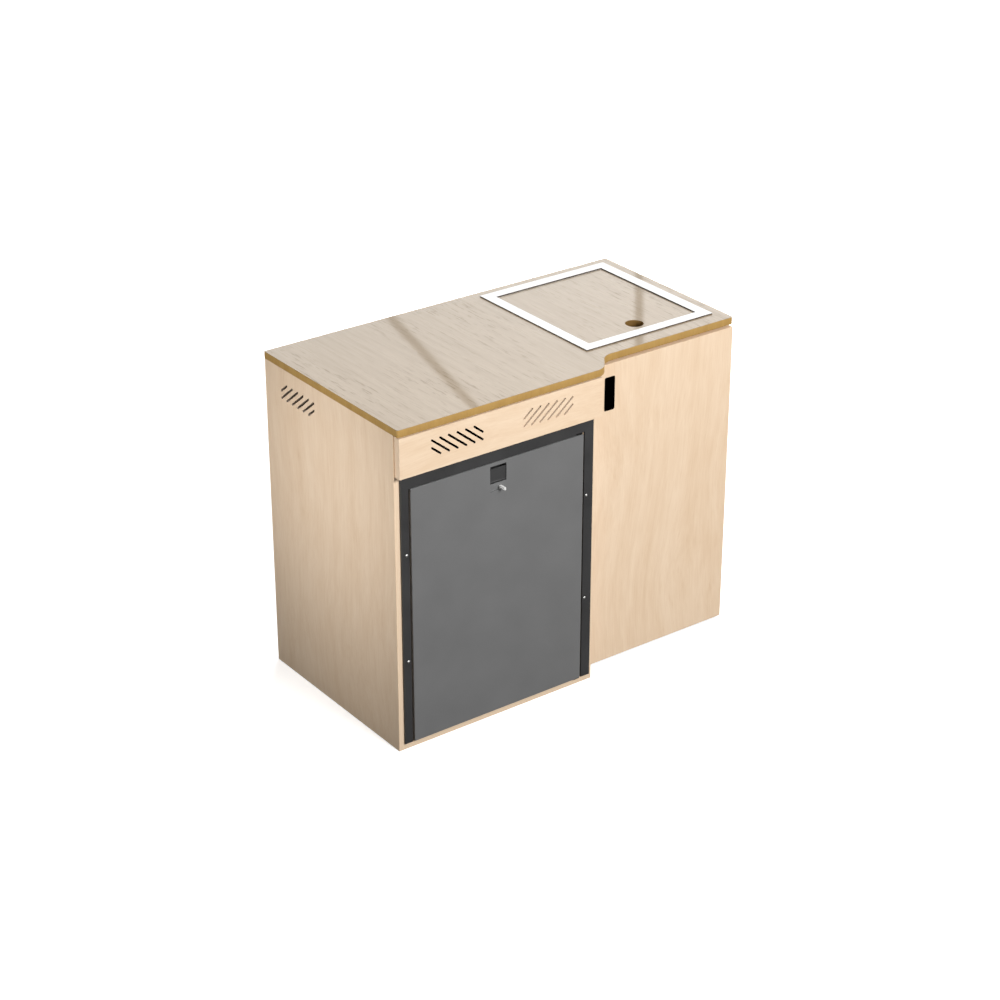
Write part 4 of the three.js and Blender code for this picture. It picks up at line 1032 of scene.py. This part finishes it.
class POD_OT_studio(PodOperator, bpy.types.Operator):
    """Set the floor, the lamps, the pale room and the camera"""

    bl_idname = "pod.studio"
    bl_label = "Studio"

    def execute(self, context):
        studio = pod_settings()[2]
        self.lay_floor(studio)
        self.hang_lamps(studio)
        context.scene.world = pale_room(studio.sky, studio.gloss)
        self.set_camera(studio)
        context.scene.view_settings.view_transform = "Standard"
        return {"FINISHED"}

    def lay_floor(self, studio):
        """One wide sheet under the pod."""
        bm = bmesh.new()
        bmesh.ops.create_grid(bm, x_segments=4, y_segments=4, size=studio.floor_size / 2)
        bmesh.ops.translate(bm, vec=(0.0, 0.0, -0.3 * MM), verts=bm.verts)
        mesh = bpy.data.meshes.new("Studio_floor")
        bm.to_mesh(mesh)
        bm.free()
        mesh.materials.append(white_sheet("Studio floor"))
        floor = bpy.data.objects.new("Studio_floor", mesh)
        bpy.context.collection.objects.link(floor)

    def hang_lamps(self, studio):
        """A key in front, a low fill on the left, a lamp behind and one high on the right."""
        area_lamp("Key_lamp", KEY_LAMP, studio.key, KEY_COLOUR)
        area_lamp("Fill_lamp", FILL_LAMP, studio.fill).data.spread = FILL_SPREAD
        area_lamp("Rear_lamp", REAR_LAMP, studio.rear).visible_glossy = False
        area_lamp("Back_lamp", BACK_LAMP, studio.back).visible_glossy = False

    def set_camera(self, studio):
        """The camera stands at its place and looks along its two angles."""
        lens = bpy.data.cameras.new("Pod camera")
        lens.lens = studio.lens
        lens.sensor_width = 36.0
        lens.clip_end = 100.0
        camera = bpy.data.objects.new("Pod_camera", lens)
        bpy.context.collection.objects.link(camera)
        turn = Matrix.Rotation(studio.azimuth, 4, "Z") @ Matrix.Rotation(QUARTER - studio.elevation, 4, "X")
        camera.matrix_world = Matrix.Translation(Vector(studio.place)) @ turn
        bpy.context.scene.camera = camera


# Panel and registration


STEPS = ("boards", "worktop", "basin", "fridge_body", "fridge_front", "cupboard_front", "studio")


class POD_PT_panel(bpy.types.Panel):
    """Kitchen pod settings and steps"""

    bl_idname = "POD_PT_panel"
    bl_label = "Kitchen Pod"
    bl_space_type = "VIEW_3D"
    bl_region_type = "UI"
    bl_category = "Kitchen Pod"

    def draw(self, context):
        layout = self.layout
        for step in STEPS:
            layout.operator("pod." + step)
        for values in (context.scene.pod_colours, context.scene.pod_edges, context.scene.pod_studio):
            box = layout.box()
            for name in values.__annotations__:
                box.prop(values, name)


CLASSES = (
    PodColours,
    PodEdges,
    PodStudio,
    POD_OT_boards,
    POD_OT_worktop,
    POD_OT_basin,
    POD_OT_fridge_body,
    POD_OT_fridge_front,
    POD_OT_cupboard_front,
    POD_OT_studio,
    POD_PT_panel,
)


def register():
    """Registers the classes and the scene's settings."""
    for item in CLASSES:
        bpy.utils.register_class(item)
    bpy.types.Scene.pod_colours = PointerProperty(type=PodColours)
    bpy.types.Scene.pod_edges = PointerProperty(type=PodEdges)
    bpy.types.Scene.pod_studio = PointerProperty(type=PodStudio)


def unregister():
    """Removes the scene's settings and the classes."""
    del bpy.types.Scene.pod_studio
    del bpy.types.Scene.pod_edges
    del bpy.types.Scene.pod_colours
    for item in reversed(CLASSES):
        bpy.utils.unregister_class(item)


def main():
    register()
    for step in STEPS:
        getattr(bpy.ops.pod, step)()


if __name__ == "__main__":
    main()
